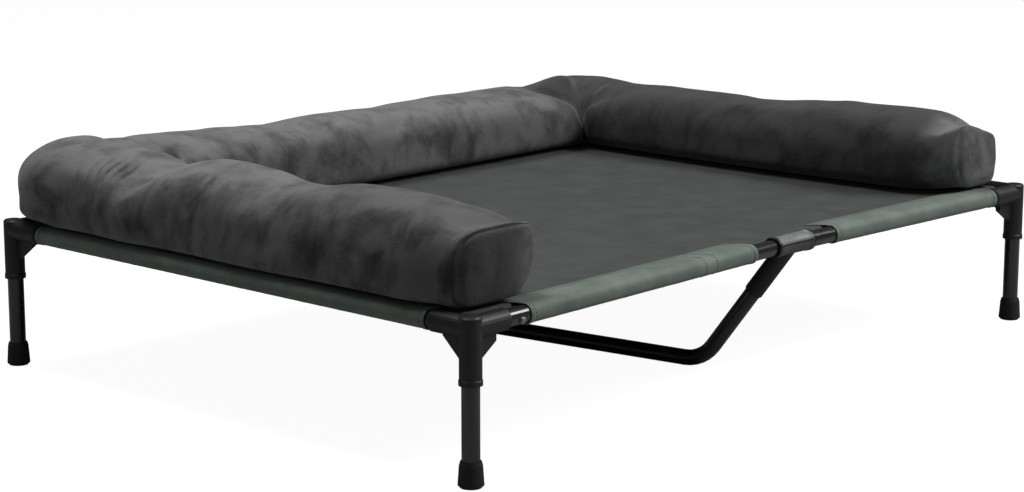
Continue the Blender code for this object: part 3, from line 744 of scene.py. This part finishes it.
def painted_pile_shade(tree, place, normal, brushed):
    """How much painted shade the pile gets, from 0 to 1, by its place and by the way it faces."""
    x, y, _ = add_node(tree, "SeparateXYZ", {"Vector": place}).outputs
    face_x, face_y, face_z = add_node(tree, "SeparateXYZ", {"Vector": normal}).outputs
    # Painted shade: the flanks darker than the tops, with less of it underneath and at the rear left
    # corner.
    shade = mask(tree, (face_z, 0.97, 0.50, 0.0, FLANK_PAINTED_SHADE))
    underside = mask(tree, (face_z, 0.45, -0.30, 0.0, 0.28))
    rear_corner = mask(tree, (x, -0.44, -0.52), (y, 0.26, 0.40, 0.0, CORNER_LESS_PAINTED_SHADE))
    for paler in (underside, rear_corner):
        shade = add_node(tree, "Math", {0: shade, 1: paler}, operation="SUBTRACT")
    # More painted shade on the right arm's inner face, the end panels, the near left part and the
    # patches.
    right_inner = mask(
        tree, (x, 0.30, 0.44), (face_x, 0.80, -0.24, 0.0, 1.05), (y, -0.40, -0.33)
    )
    ends = mask(tree, (x, -0.45, -0.51, 0.42, 1.0), (face_y, -0.25, -0.85))
    near_left = mask(tree, (x, -0.20, -0.35), (y, 0.02, -0.15, 0.0, 0.50))
    patches = [painted_shade_patch(tree, place, brushed, *patch) for patch in PAINTED_SHADE_PATCHES]
    for darker in (right_inner, ends, near_left, *patches):
        shade = add_node(tree, "Math", {0: shade, 1: darker}, operation="MAXIMUM")
    return shade


def short_plush():
    """Charcoal pile, mottled by brushing, with painted shade on flanks, ends and folds, and a
    painted top light.
    """
    made, tree, shader, place = new_material(
        "short_pile_plush", 0.92, IOR=1.4, Sheen_Weight=0.40, Sheen_Roughness=0.40,
        Sheen_Tint=linear("#c8c9ca"),
    )
    flat = add_node(tree, "UVMap", uv_map="cloth")
    drawn_out = add_node(tree, "Mapping", {"Vector": flat, "Scale": (1.0, 0.45, 1.0)})
    strokes = add_node(tree, "TexNoise", {"Vector": drawn_out, **lumps(0.021, 4.0, 0.58, 0.3)})
    brushed = add_node(tree, "TexNoise", {"Vector": place, **lumps(0.062, 4.0, 0.58, 0.6)})
    # A tuft of pile is about 0.3 mm across and wouldn't show, so it is drawn at 2.2 mm.
    pile = add_node(tree, "TexNoise", {"Vector": place, **lumps(0.0022, 3.0, 0.65)})
    nap = add_node(tree, "Math", {0: strokes, 1: 0.55, 2: brushed}, operation="MULTIPLY_ADD")
    mixed = add_node(tree, "Math", {0: pile, 1: 0.30, 2: nap}, operation="MULTIPLY_ADD")
    coat = add_node(tree, "ValToRGB", {"Fac": mixed}, stops=((0.70, "#434344"), (1.0, "#7d7d7e")))
    normal = add_node(tree, "NewGeometry").outputs["Normal"]
    face_z = add_node(tree, "SeparateXYZ", {"Vector": normal}).outputs["Z"]
    folded = add_node(tree, "Attribute", attribute_name="crease").outputs["Fac"]
    shade = painted_pile_shade(tree, place, normal, brushed)
    for share, hex_colour in (
        # painted shade in the folds, by the crease attribute's fold depth
        (mask(tree, (folded, 0.0, 1.0, 0.0, FOLD_PAINTED_SHADE)), "#1c1c1d"),
        # painted top light: a paler grey where the surface faces up
        (mask(tree, (face_z, 0.50, 0.95, 0.0, 0.30)), "#69696a"),
        # the painted shade of the flanks, ends, inner face and patches
        (mask(tree, (shade, 0.0, 1.0, 0.0, MOST_PAINTED_SHADE)), "#141415"),
    ):
        mix = {"Fac": share, "Color1": coat, "Color2": linear(hex_colour)}
        coat = add_node(tree, "MixRGB", mix)
    finish_with(tree, shader, coat, (nap, 0.0014, 0.5), (pile, 0.0009, 0.8))
    return made


plush = short_plush()
print("made", plush.name)

# %% [markdown]
# ## The bolster's shape
# The bolster is one stuffed tube. It could be a bent cylinder, but its section changes all the
# way, so it is lofted from rings. Each is a rounded rectangle with a flat bottom. The tube is
# lower where use has settled its filling, rises at the rear corners, and narrows to a flat panel
# at each front end.

# %% The bolster's sizes
WIDTH = 0.180
OVERHANG = 0.017
ARM_HEIGHT = 0.108
SETTLED_HEIGHT = 0.089
SETTLING_LENGTH = 0.340
# The left arm has a waist: its middle from the end, its half length and its depth.
WAIST = (0.350, 0.110, 0.012)
FRONT_Y = -LEG_Y + 0.026
CORNER_RADIUS = 0.076
CORNER_PINCH = 0.012
CORNER_RISE = 0.012
INNER_X = LEG_X + OVERHANG - WIDTH
INNER_Y = LEG_Y + OVERHANG - WIDTH
BASE_Z = 0.2058
RING_POINTS = 64
STATION_STEP = 0.0085
FINE_STEP = 0.0043
FINE_FROM = 0.585
NEAR_SEAM = (0.0, 0.0025, 0.0055)
PAST_SEAM = 0.0100
# Towards its end panel an arm tapers, shifts outwards, leans its outer side down and tucks it in,
# and its two top edges sharpen. seam is where its rear corner's seam is, as a share of the turn.
LEFT_ARM = {
    "width": 0.146, "height": 0.0915, "taper": 0.070, "shift": 0.003, "lean": 0.0, "tuck": 0.0,
    "outer_edge": 0.60, "inner_edge": 0.26, "settles_from": 0.600, "seam": 0.74, "steps": 44,
}
RIGHT_ARM = {
    "width": 0.121, "height": 0.0905, "taper": 0.092, "shift": 0.0055, "lean": 0.016,
    "tuck": 0.09, "outer_edge": 0.24, "inner_edge": 0.70, "settles_from": 0.090, "seam": 0.50,
    "steps": 22,
}
# Where a ring's inner side stands, its way outwards, its width, how far along the tube it is, and
# how near it is to a rear corner's middle and to that corner's seam, from 0 to 1.
Station = namedtuple("Station", "inner way width distance corner seam")


def corner_reach(angle):
    """From the bolster's inner corner to its rounded outer corner, at an angle from the side."""
    nearest = min(math.tan(angle), 1 / math.tan(angle))
    flat_part = WIDTH - CORNER_RADIUS
    if WIDTH * nearest <= flat_part:
        return WIDTH / max(math.cos(angle), math.sin(angle))
    across = flat_part * (math.cos(angle) + math.sin(angle))
    return across + math.sqrt(across**2 - 2 * flat_part**2 + CORNER_RADIUS**2)


def even_places(low, high, step):
    count = round((high - low) / step)
    return [low + (high - low) * i / count for i in range(count + 1)]


def straight(start, end, way, distance, places):
    """The stations of one straight run, at places along it."""
    run = end - start
    return [
        Station(start + run * (place / run.length), way, WIDTH, distance + place, 0.0, 0.0)
        for place in places
    ]


def turn(centre, side_x, distance):
    """The stations of one rear corner, fanned round its inner corner."""
    arm = LEFT_ARM if side_x < 0 else RIGHT_ARM
    made = []
    for i in range(1, arm["steps"]):
        share = i / arm["steps"]
        from_side = share if side_x < 0 else 1 - share
        angle = math.pi / 2 * from_side
        way = Vector((side_x * math.cos(angle), math.sin(angle), 0))
        corner = 1 - abs(2 * share - 1)
        seam = math.exp(-(((from_side - arm["seam"]) / 0.11) ** 2))
        pinch = CORNER_PINCH * corner
        width = corner_reach(angle) - pinch
        made.append(Station(centre + way * pinch, way, width, distance, corner, seam))
    return made


front_left, front_right = Vector((-INNER_X, FRONT_Y, 0)), Vector((INNER_X, FRONT_Y, 0))
rear_left, rear_right = Vector((-INNER_X, INNER_Y, 0)), Vector((INNER_X, INNER_Y, 0))
arm, back = (rear_left - front_left).length, (rear_right - rear_left).length
left_places = [*NEAR_SEAM, *even_places(PAST_SEAM, FINE_FROM, STATION_STEP)]
left_places += even_places(FINE_FROM, arm, FINE_STEP)[1:]
right_places = even_places(0.0, arm - PAST_SEAM, STATION_STEP)
right_places += [arm - near for near in reversed(NEAR_SEAM)]
stations = [
    *straight(front_left, rear_left, Vector((-1, 0, 0)), 0.0, left_places),
    *turn(rear_left, -1, arm),
    *straight(rear_left, rear_right, Vector((0, 1, 0)), arm, even_places(0.0, back, STATION_STEP)),
    *turn(rear_right, 1, arm + back),
    *straight(rear_right, front_right, Vector((1, 0, 0)), arm + back, right_places),
]
TOTAL = stations[-1].distance
print(len(stations), "rings of", RING_POINTS, "points, along", round(TOTAL, 3), "m")

# %% [markdown]
# Use has dented it. Round a rear corner it sinks towards its inner corner, and a crease runs out
# along the seam. The left arm has a deep saddle and a slight waist, and the filling has gathered
# in lumps. One function gives all that at any place.

# %% Where use has raised and creased it
# The left arm's saddle and the slight dip before it: their middle, reach along Y and depth.
SADDLES = ((0.186, 0.085, 0.020), (-0.122, 0.070, 0.004))
# Lumps and a hollow near the rear corners: where each one is, its reach and its height.
LUMPS = (
    (-0.510, 0.318, 0.070, 0.010), (-0.585, 0.405, 0.045, -0.006), (0.472, 0.370, 0.038, 0.010)
)
DIMPLE_REACH, DIMPLE_DEPTH = 0.130, 0.045
CREASE_FROM, CREASE_OVER, CREASE_DEPTH = 0.070, 0.120, 0.008


def relief(x, y):
    """How far the cover lies above its plain shape at a place."""
    side, back = abs(x) - INNER_X, y - INNER_Y
    away = math.hypot(side, back)
    turned = math.atan2(back, side) / (math.pi / 2)
    beside = smooth_step((turned - 0.15) / 0.4) * smooth_step((1.45 - turned) / 0.4)
    change = -DIMPLE_DEPTH * (1 - smooth_step(away / DIMPLE_REACH)) * beside
    seam = (LEFT_ARM if x < 0 else RIGHT_ARM)["seam"]
    if back > 0:
        crease = math.exp(-(((turned - seam) / 0.07) ** 2))
        change -= CREASE_DEPTH * crease * (1 - smooth_step((away - CREASE_FROM) / CREASE_OVER))
    for at_x, at_y, reach, height in LUMPS:
        change += height * math.exp(-((x - at_x) ** 2 + (y - at_y) ** 2) / reach**2)
    if x < 0:
        for centre, reach, depth in SADDLES:
            change -= depth * window(y, centre, reach) * smooth_step((0.30 + x) / -0.08)
    return change


print("saddle", round(relief(-0.5, SADDLES[0][0]) * 1000), "mm")

# %% [markdown]
# The underside lies on what is below it: the deck, a hem, and at the corners and the rear tee the
# harder parts, a little higher. Outside the rails it hangs down over the hem. A ring is shaped in
# numpy, spaced evenly, and set down on that.

# %% The bolster's rings
EDGE_ROUNDNESS = 0.84
ROUNDED_END = 0.012
DROOP = 0.009
LIFTED = 0.0004
SKIN_INSET = 0.008
SEAM_INSET = 0.001


def support_height(x, y):
    """The top of whatever lies under the bolster at a place: deck, hem, connector or tee."""
    cloth = RAIL_Z + HEM_RADIUS + CLOTH / 2 - dip(min(abs(x), LEG_X) * (1 if x > 0 else -1), y)
    by_corner = smooth_step((abs(x) - LEG_X + 0.115) / 0.03)
    by_corner *= smooth_step((abs(y) - LEG_Y + 0.095) / 0.03)
    by_tee = smooth_step((0.115 - abs(x + TEE_OFFSET)) / 0.03)
    by_tee *= smooth_step((y - LEG_Y + 0.055) / 0.02)
    return cloth + (BASE_Z - LIFTED - cloth) * max(by_corner, by_tee) + LIFTED


def clear_of_connectors(spot):
    """0 beside a corner connector or the rear tee, 1 elsewhere."""
    by_corner = smooth_step((abs(spot.y) - LEG_Y + 0.11) / 0.04)
    by_corner *= smooth_step((abs(spot.x) - LEG_X + 0.11) / 0.04)
    by_tee = smooth_step((0.10 - abs(spot.x + TEE_OFFSET)) / 0.04) * smooth_step(spot.y / 0.1)
    return 1 - max(by_corner, by_tee)


def droop(spot, up):
    """How far the cloth hangs down outside the rail: round the hem and then free."""
    past_axis = max(abs(spot.x) - LEG_X, spot.y - rail_line(spot.x, 1), 0.0)
    around = HEM_RADIUS - math.sqrt(max(HEM_RADIUS**2 - past_axis**2, 0.0))
    return min(DROOP, around) * smooth_step(1 - up / 0.035) * clear_of_connectors(spot)


def bolster_ring(station):
    """Evenly spaced points from the bottom's middle up the outer side and over the top."""
    from_end = min(station.distance, TOTAL - station.distance)
    is_left = station.distance < TOTAL / 2
    arm = LEFT_ARM if is_left else RIGHT_ARM
    swell = smooth_step(from_end / arm["taper"])
    settled = smooth_step((from_end - arm["settles_from"]) / SETTLING_LENGTH)
    full = ARM_HEIGHT + (SETTLED_HEIGHT - ARM_HEIGHT) * settled
    if is_left:
        full -= WAIST[2] * window(from_end, WAIST[0], WAIST[1])
    height = arm["height"] + (full - arm["height"]) * swell + CORNER_RISE * station.corner
    half_width = (station.width - (WIDTH - arm["width"]) * (1 - swell)) / 2
    turns = np.linspace(-math.pi / 2, 1.5 * math.pi, 481)
    cosine, sine = np.cos(turns), np.sin(turns)
    outer, top = cosine > 0, sine > 0
    # A power under 1 squares an edge off, and 1 leaves it round.
    roundness = np.select(
        [outer & top, ~outer & top, outer],
        [arm["outer_edge"] + (EDGE_ROUNDNESS - arm["outer_edge"]) * swell,
         arm["inner_edge"] + (EDGE_ROUNDNESS - arm["inner_edge"]) * swell,
         0.35 + 0.10 * swell],
        0.78 - 0.08 * swell,
    )
    across = np.sign(cosine) * np.abs(cosine) ** roundness
    lift = np.sign(sine) * np.abs(sine) ** roundness
    low = lift < 0
    flatness = np.where(~outer, 1.0 - 0.4 * swell, 0.6 - 0.15 * station.corner)
    lift[low] = -(np.abs(lift[low]) ** flatness[low])
    narrowing = np.where(outer, 0.03 + arm["tuck"] * (1 - swell), 0.10) * (1 - station.corner)
    across[low] *= 1 - narrowing[low] * np.abs(lift[low])
    lean = arm["lean"] * (1 - swell) * across
    edge = max(0.0, 1 - from_end / ROUNDED_END)
    edge = ROUNDED_END * (1 - math.sqrt(1 - edge**2))
    out = across * (half_width - SEAM_INSET - edge * np.where(outer == is_left, 1.0, 0.2))
    inset = SEAM_INSET + (SKIN_INSET - SEAM_INSET) * smooth_step(from_end / 0.030)
    up = (height - lean - inset) / 2 * (1 + lift)
    lengths = np.concatenate([[0.0], np.cumsum(np.hypot(np.diff(out), np.diff(up)))])
    even = np.arange(RING_POINTS) / RING_POINTS * lengths[-1]
    middle = station.inner + station.way * (station.width / 2 + arm["shift"] * (1 - swell))
    ring = []
    for o, u in zip(np.interp(even, lengths, out).tolist(), np.interp(even, lengths, up).tolist()):
        spot = middle + station.way * o
        under = support_height(spot.x, spot.y)
        sink = (BASE_Z - under) * smooth_step(1 - u / 0.045) + droop(spot, u)
        raised = relief(spot.x, spot.y) * u / height
        ring.append(Vector((spot.x, spot.y, BASE_Z + u + raised - sink)))
    return ring


rings = [bolster_ring(station) for station in stations]
middles = [station.inner + station.way * (station.width / 2) for station in stations]
runs = list(accumulate([0.0, *[(b - a).length for a, b in zip(middles, middles[1:])]]))
print("crest", round(max(p.z for ring in rings for p in ring), 4), "m high")

# %% [markdown]
# ## The bolster's skin
# Each end is closed by a panel, a grid of cloth fitted between the four sides of the last ring.
# The UV map is cut open where the last column runs back to the first, so its far edge is set one
# girth on.

# %% Build the skin
GIRTH = 0.47
# The ring's points at an end panel's four corners.
LOW_OUTER, TOP_OUTER, TOP_INNER, LOW_INNER = 10, 22, 42, 54
PANEL_ROWS, PANEL_COLUMNS = TOP_OUTER - LOW_OUTER, TOP_INNER - TOP_OUTER
PANEL_CROWN = 0.007


def end_panel(first, ring, points, faces):
    """A grid between the ring's outer side, top, inner side and bottom, crowned forwards."""
    ids = {}
    for i in range(PANEL_COLUMNS + 1):
        for j in range(PANEL_ROWS + 1):
            below, top_light_share = (LOW_OUTER - i) % RING_POINTS, TOP_OUTER + i
            out, inwards = LOW_OUTER + j, LOW_INNER - j
            rim = {0: below, PANEL_ROWS: top_light_share}.get(j, {0: out, PANEL_COLUMNS: inwards}.get(i))
            if rim is not None:
                ids[i, j] = first + rim
                continue
            u, v = i / PANEL_COLUMNS, j / PANEL_ROWS
            corners = ring[LOW_OUTER] * ((1 - u) * (1 - v)) + ring[LOW_INNER] * (u * (1 - v))
            corners = corners + ring[TOP_OUTER] * ((1 - u) * v) + ring[TOP_INNER] * (u * v)
            spot = ring[below] * (1 - v) + ring[top_light_share] * v
            spot = spot + ring[out] * (1 - u) + ring[inwards] * u - corners
            crown = (16 * u * (1 - u) * v * (1 - v)) ** 0.6
            ids[i, j] = len(points)
            points.append(spot + Vector((0, -PANEL_CROWN, 0)) * crown)
    for i in range(PANEL_COLUMNS):
        for j in range(PANEL_ROWS):
            faces.append((ids[i, j], ids[i + 1, j], ids[i + 1, j + 1], ids[i, j + 1]))


points = [p for ring in rings for p in ring]
flat = [(run, GIRTH * k / RING_POINTS) for run in runs for k in range(RING_POINTS)]
faces = grid_faces(len(rings), RING_POINTS, closed=True)
last = (len(rings) - 1) * RING_POINTS
for first, ring in ((0, rings[0]), (last, rings[-1])):
    end_panel(first, ring, points, faces)
flat += [(p.x, p.z) for p in points[len(flat):]]
bolster = mesh_piece("bolster_cover", points, faces, plush, flat)
layer = bolster.data.uv_layers["cloth"].data
for face in bolster.data.polygons:
    turns = [layer[k].uv[1] for k in face.loop_indices]
    if max(turns) - min(turns) > GIRTH / 2:
        for k in face.loop_indices:
            if layer[k].uv[1] < GIRTH / 2:
                layer[k].uv[1] += GIRTH
smooth_faces(bolster, 180)
print("skin:", len(points), "points,", len(faces), "faces")

# %% [markdown]
# The skin is then inflated as cloth. The end seams, the rear corners' seams and the flat bottom
# are pinned, there is cloth to spare beside the seams, and a cap on how far a point may move keeps
# the bolster in its space. The result stays in the mesh, and the simulation is removed.

# %% Inflate it as cloth
INFLATE_FRAMES = 20
MOST_MOVED = 0.011
GATHERED_FOR = 0.055
PINNED_TO = 0.010
# Which points of a ring a rear corner's seam holds: over the top and down the inner side.
SEAM_POINTS = range(36, 50)
FILLING = {
    "quality": 6, "mass": 0.3, "tension_stiffness": 12, "compression_stiffness": 8,
    "shear_stiffness": 6, "bending_stiffness": 1.5, "use_pressure": True,
    "uniform_pressure_force": 1.6, "vertex_group_shrink": "gathered", "shrink_min": -0.006,
    "shrink_max": -0.045, "vertex_group_mass": "held", "pin_stiffness": 1.0,
}


def inflate(piece, held, spare):
    """Runs the cloth, caps how far each point moved, and leaves the result in the mesh."""
    piece.vertex_groups.new(name="held").add(sorted(held), 1.0, "REPLACE")
    gathered = piece.vertex_groups.new(name="gathered")
    for i, weight in enumerate(spare):
        gathered.add([i], weight, "REPLACE")
    cloth = piece.modifiers.new("filling", "CLOTH")
    for name, value in FILLING.items():
        setattr(cloth.settings, name, value)
    cloth.settings.effector_weights.gravity = 0.0
    cloth.collision_settings.use_collision = False
    cloth.collision_settings.use_self_collision = False
    cloth.point_cache.frame_start = 1
    cloth.point_cache.frame_end = INFLATE_FRAMES
    start = np.array([v.co[:] for v in piece.data.vertices])
    for frame_number in range(1, INFLATE_FRAMES + 1):
        bpy.context.scene.frame_set(frame_number)
    shaped = piece.evaluated_get(bpy.context.evaluated_depsgraph_get())
    moved = np.array([v.co[:] for v in shaped.to_mesh().vertices]) - start
    shaped.to_mesh_clear()
    piece.modifiers.remove(cloth)
    far = np.linalg.norm(moved, axis=1)
    moved *= (MOST_MOVED * np.tanh(far / MOST_MOVED) / np.maximum(far, 1e-9))[:, None]
    piece.data.vertices.foreach_set("co", (start + moved).ravel())
    piece.data.update()
    piece.vertex_groups.clear()
    bpy.context.scene.frame_set(1)
    return far


pinned = {*range(RING_POINTS), *range(last, last + RING_POINTS)}
pinned |= {i for i, spot in enumerate(points) if spot.z < BASE_Z + PINNED_TO}
weights = []
for i, station in enumerate(stations):
    if station.seam > 0.98:
        pinned.update(i * RING_POINTS + k for k in SEAM_POINTS)
    from_end = min(station.distance, TOTAL - station.distance)
    near = max(math.exp(-from_end / GATHERED_FOR), station.corner**2)
    weights += [near] * RING_POINTS
far = inflate(bolster, pinned, weights)
print("moved", round(float(far.mean()) * 1000, 1), "mm on average,", len(pinned), "pinned")

# %% [markdown]
# ## Folds that hands leave
# A stuffed cover also shows soft lumps, fine gathers where it turns the rear corners, and a seam
# pulled in round each end panel. They are added along each point's normal. The UV map says where a
# point lies along the bolster and round it, and the crease attribute keeps how deep it lies in a
# fold, which the plush turns into painted shade.

# %% Lumps, gathers and seams
GATHERS_ALONG, GATHERS_REACH = 0.645, 0.075
GATHERS_ROUND, GATHERS_WIDTH = 0.187, 0.054
GATHER_PITCH = 0.0135
GATHER_DEPTH = 0.0026
SEAM_DEPTH, SEAM_WIDTH = 0.0026, 0.0032
RIDGE_HEIGHT, RIDGE_FROM_SEAM, RIDGE_WIDTH = 0.0007, 0.0085, 0.003
# How strongly each side of the left and of the right end panel's seam is pulled in.
SEAM_STRENGTH = (
    {"outer": 0.15, "top": 1.0, "inner": 1.0, "bottom": 0.5},
    {"outer": 0.5, "top": 0.5, "inner": 0.1, "bottom": 0.3},
)


def fold_at(spot, run, turn, to_seam, strength):
    """How far a point of the cover stands out, and how deep in a fold it lies, from 0 to 1."""
    lumps = 0.0032 * ripple(spot, 0.110, 5) + 0.0014 * ripple(spot, 0.045, 9)
    mirrored = run if run < runs[-1] / 2 else runs[-1] - run
    phase = (mirrored - 0.15 * turn) / GATHER_PITCH + 0.35 * ripple(spot, 0.03, 21)
    round_at = GATHERS_ROUND - 0.5 * (mirrored - GATHERS_ALONG)
    gathered = window(mirrored, GATHERS_ALONG, GATHERS_REACH)
    gathered *= window(turn, round_at, GATHERS_WIDTH)
    valley = (1 - abs(math.sin(math.pi * phase))) ** 2
    gathers = GATHER_DEPTH * (0.3 - valley) * gathered
    groove = math.exp(-((to_seam / SEAM_WIDTH) ** 2)) * strength
    ridge = math.exp(-(((to_seam - RIDGE_FROM_SEAM) / RIDGE_WIDTH) ** 2)) * strength
    height = lumps + gathers - SEAM_DEPTH * groove + RIDGE_HEIGHT * ridge
    return height, min(1.0, valley * gathered * 1.3 + 0.8 * groove)


def ring_side(k):
    ends = {8: "bottom", 22: "outer", 43: "top", 57: "inner", RING_POINTS: "bottom"}
    return next(side for end, side in ends.items() if k < end)


def seam_tree(mesh):
    """A tree of close points along the two end seams, with each point's strength."""
    spots, strengths = [], []
    for first, strength in zip((0, last), SEAM_STRENGTH):
        ring = [mesh.vertices[first + k].co.copy() for k in range(RING_POINTS)]
        for k, (a, b) in enumerate(zip(ring, ring[1:] + ring[:1])):
            before, after = strength[ring_side(k)], strength[ring_side((k + 1) % RING_POINTS)]
            spots += [a.lerp(b, share / 4) for share in range(4)]
            strengths += [before + (after - before) * share / 4 for share in range(4)]
    tree = kdtree.KDTree(len(spots))
    for i, spot in enumerate(spots):
        tree.insert(spot, i)
    tree.balance()
    return tree, strengths


def shape_folds(piece):
    mesh = piece.data
    count = len(mesh.vertices)
    where = np.zeros((count, 2))
    for loop, place in zip(mesh.loops, mesh.uv_layers["cloth"].data):
        where[loop.vertex_index] = place.uv[:]
    normals = [n.vector.copy() for n in mesh.vertex_normals]
    tree, strengths = seam_tree(mesh)
    depths = np.zeros(count)
    for i, vertex in enumerate(mesh.vertices):
        off_bottom = smooth_step((vertex.co.z - BASE_Z + 0.002) / 0.030)
        if off_bottom > 0:
            to_seam, strength = 1.0, 0.0
            if vertex.co.y < FRONT_Y + 0.03:
                _, nearest, to_seam = tree.find(vertex.co)
                strength = strengths[nearest]
            run, turn = where[i] if vertex.co.y > FRONT_Y - 0.0005 else (0.0, 0.0)
            height, depths[i] = fold_at(vertex.co, run, turn % GIRTH, to_seam, strength)
            vertex.co += normals[i] * (height * off_bottom)
    mesh.attributes.new("crease", "FLOAT", "POINT").data.foreach_set("value", depths)
    mesh.update()


apply_modifier(bolster, "SUBSURF", levels=1, render_levels=1)
shape_folds(bolster)
smooth_faces(bolster, 180)
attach(bolster, "bolster")
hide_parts("bolster")
print("bolster", len(bolster.data.polygons), "faces")

# %% [markdown]
# ## The studio
# The picture is a catalogue shot on white with hardly a shadow. For the camera the floor glows
# mostly by itself, and the rest of it is lit, so that faint contact shadows stay. To every other
# ray the floor and the world are a dim grey, which keeps black parts black.

# %% Floor and world
FLOOR_HALF = 20.0
WHITE = (1, 1, 1, 1)


def lit_floor():
    made = bpy.data.materials.new("studio_floor")
    made.use_nodes = True
    tree = made.node_tree
    tree.nodes.clear()
    glow = add_node(tree, "Emission", {"Color": WHITE, "Strength": 1.22})
    paper, dim_paper = [
        add_node(tree, "BsdfDiffuse", {"Color": (grey, grey, grey, 1)}) for grey in (0.9, 0.34)
    ]
    seen = add_node(tree, "MixShader", {0: 0.22, 1: glow, 2: paper})
    by_camera = add_node(tree, "LightPath").outputs["Is Camera Ray"]
    final = add_node(tree, "MixShader", {0: by_camera, 1: dim_paper, 2: seen})
    add_node(tree, "OutputMaterial", {"Surface": final})
    return made


corners = [(x * FLOOR_HALF, y * FLOOR_HALF, 0) for x, y in ((-1, -1), (1, -1), (1, 1), (-1, 1))]
floor = mesh_piece("studio_floor", corners, [(0, 1, 2, 3)], lit_floor())

world = bpy.data.worlds.new("white_studio")
bpy.context.scene.world = world
world.use_nodes = True
tree = world.node_tree
tree.nodes.clear()
rays = add_node(tree, "LightPath").outputs
through = {0: rays["Is Camera Ray"], 1: rays["Is Transmission Ray"]}
seen = add_node(tree, "Math", through, operation="MAXIMUM")
soft, white = [
    add_node(tree, "Background", {"Color": WHITE, "Strength": glow}) for glow in (0.085, 1.0)
]
mixed = add_node(tree, "MixShader", {0: seen, 1: soft, 2: white})
add_node(tree, "OutputWorld", {"Surface": mixed})
print("floor", 2 * FLOOR_HALF, "m wide")

# %% [markdown]
# One broad light high up on the front right leaves the tops bright, the front half lit and the
# left side in shade. A second hangs overhead and brings out the far side's crest.

# %% Lights
for name, place, target, size_x, size_y, watts in (
    ("key_softbox", (1.6, -2.0, 2.5), (0, 0, 0.2), 1.8, 1.4, 76),
    ("overhead_softbox", (-0.50, 0.60, 2.6), (-0.3, 0.2, 0.2), 1.2, 1.2, 39),
):
    light = bpy.data.lights.new(name, "AREA")
    light.shape = "RECTANGLE"
    light.size, light.size_y = size_x, size_y
    light.energy = watts
    lamp = bpy.data.objects.new(name, light)
    lamp.location = place
    aim = Vector(target) - Vector(place)
    lamp.rotation_euler = aim.to_track_quat("-Z", "Y").to_euler()
    bpy.context.scene.collection.objects.link(lamp)
    print(name, watts, "W")

# %% [markdown]
# ## The camera
# The camera stands in front and to the left, and looks slightly down. Its place and its 90 mm lens
# were solved from the photograph's own lines: the legs, the rails and the feet.

# %% Camera
CAMERA_PLACE = Vector((-2.6714, -2.4146, 0.8766))
CAMERA_YAW = math.radians(47.428)
CAMERA_PITCH = math.radians(-11.576)
lens = bpy.data.cameras.new("photo_camera")
lens.lens = 90.21
lens.sensor_width = 36.0
lens.sensor_fit = "HORIZONTAL"
lens.clip_end = 100.0
camera = bpy.data.objects.new("photo_camera", lens)
turned = Euler((math.pi / 2 + CAMERA_PITCH, 0, -CAMERA_YAW))
camera.matrix_world = Matrix.LocRotScale(CAMERA_PLACE, turned, None)
bpy.context.scene.collection.objects.link(camera)
bpy.context.scene.camera = camera
bpy.context.scene.view_settings.view_transform = "Standard"
print("camera", [round(v, 3) for v in CAMERA_PLACE], "lens", lens.lens, "mm")
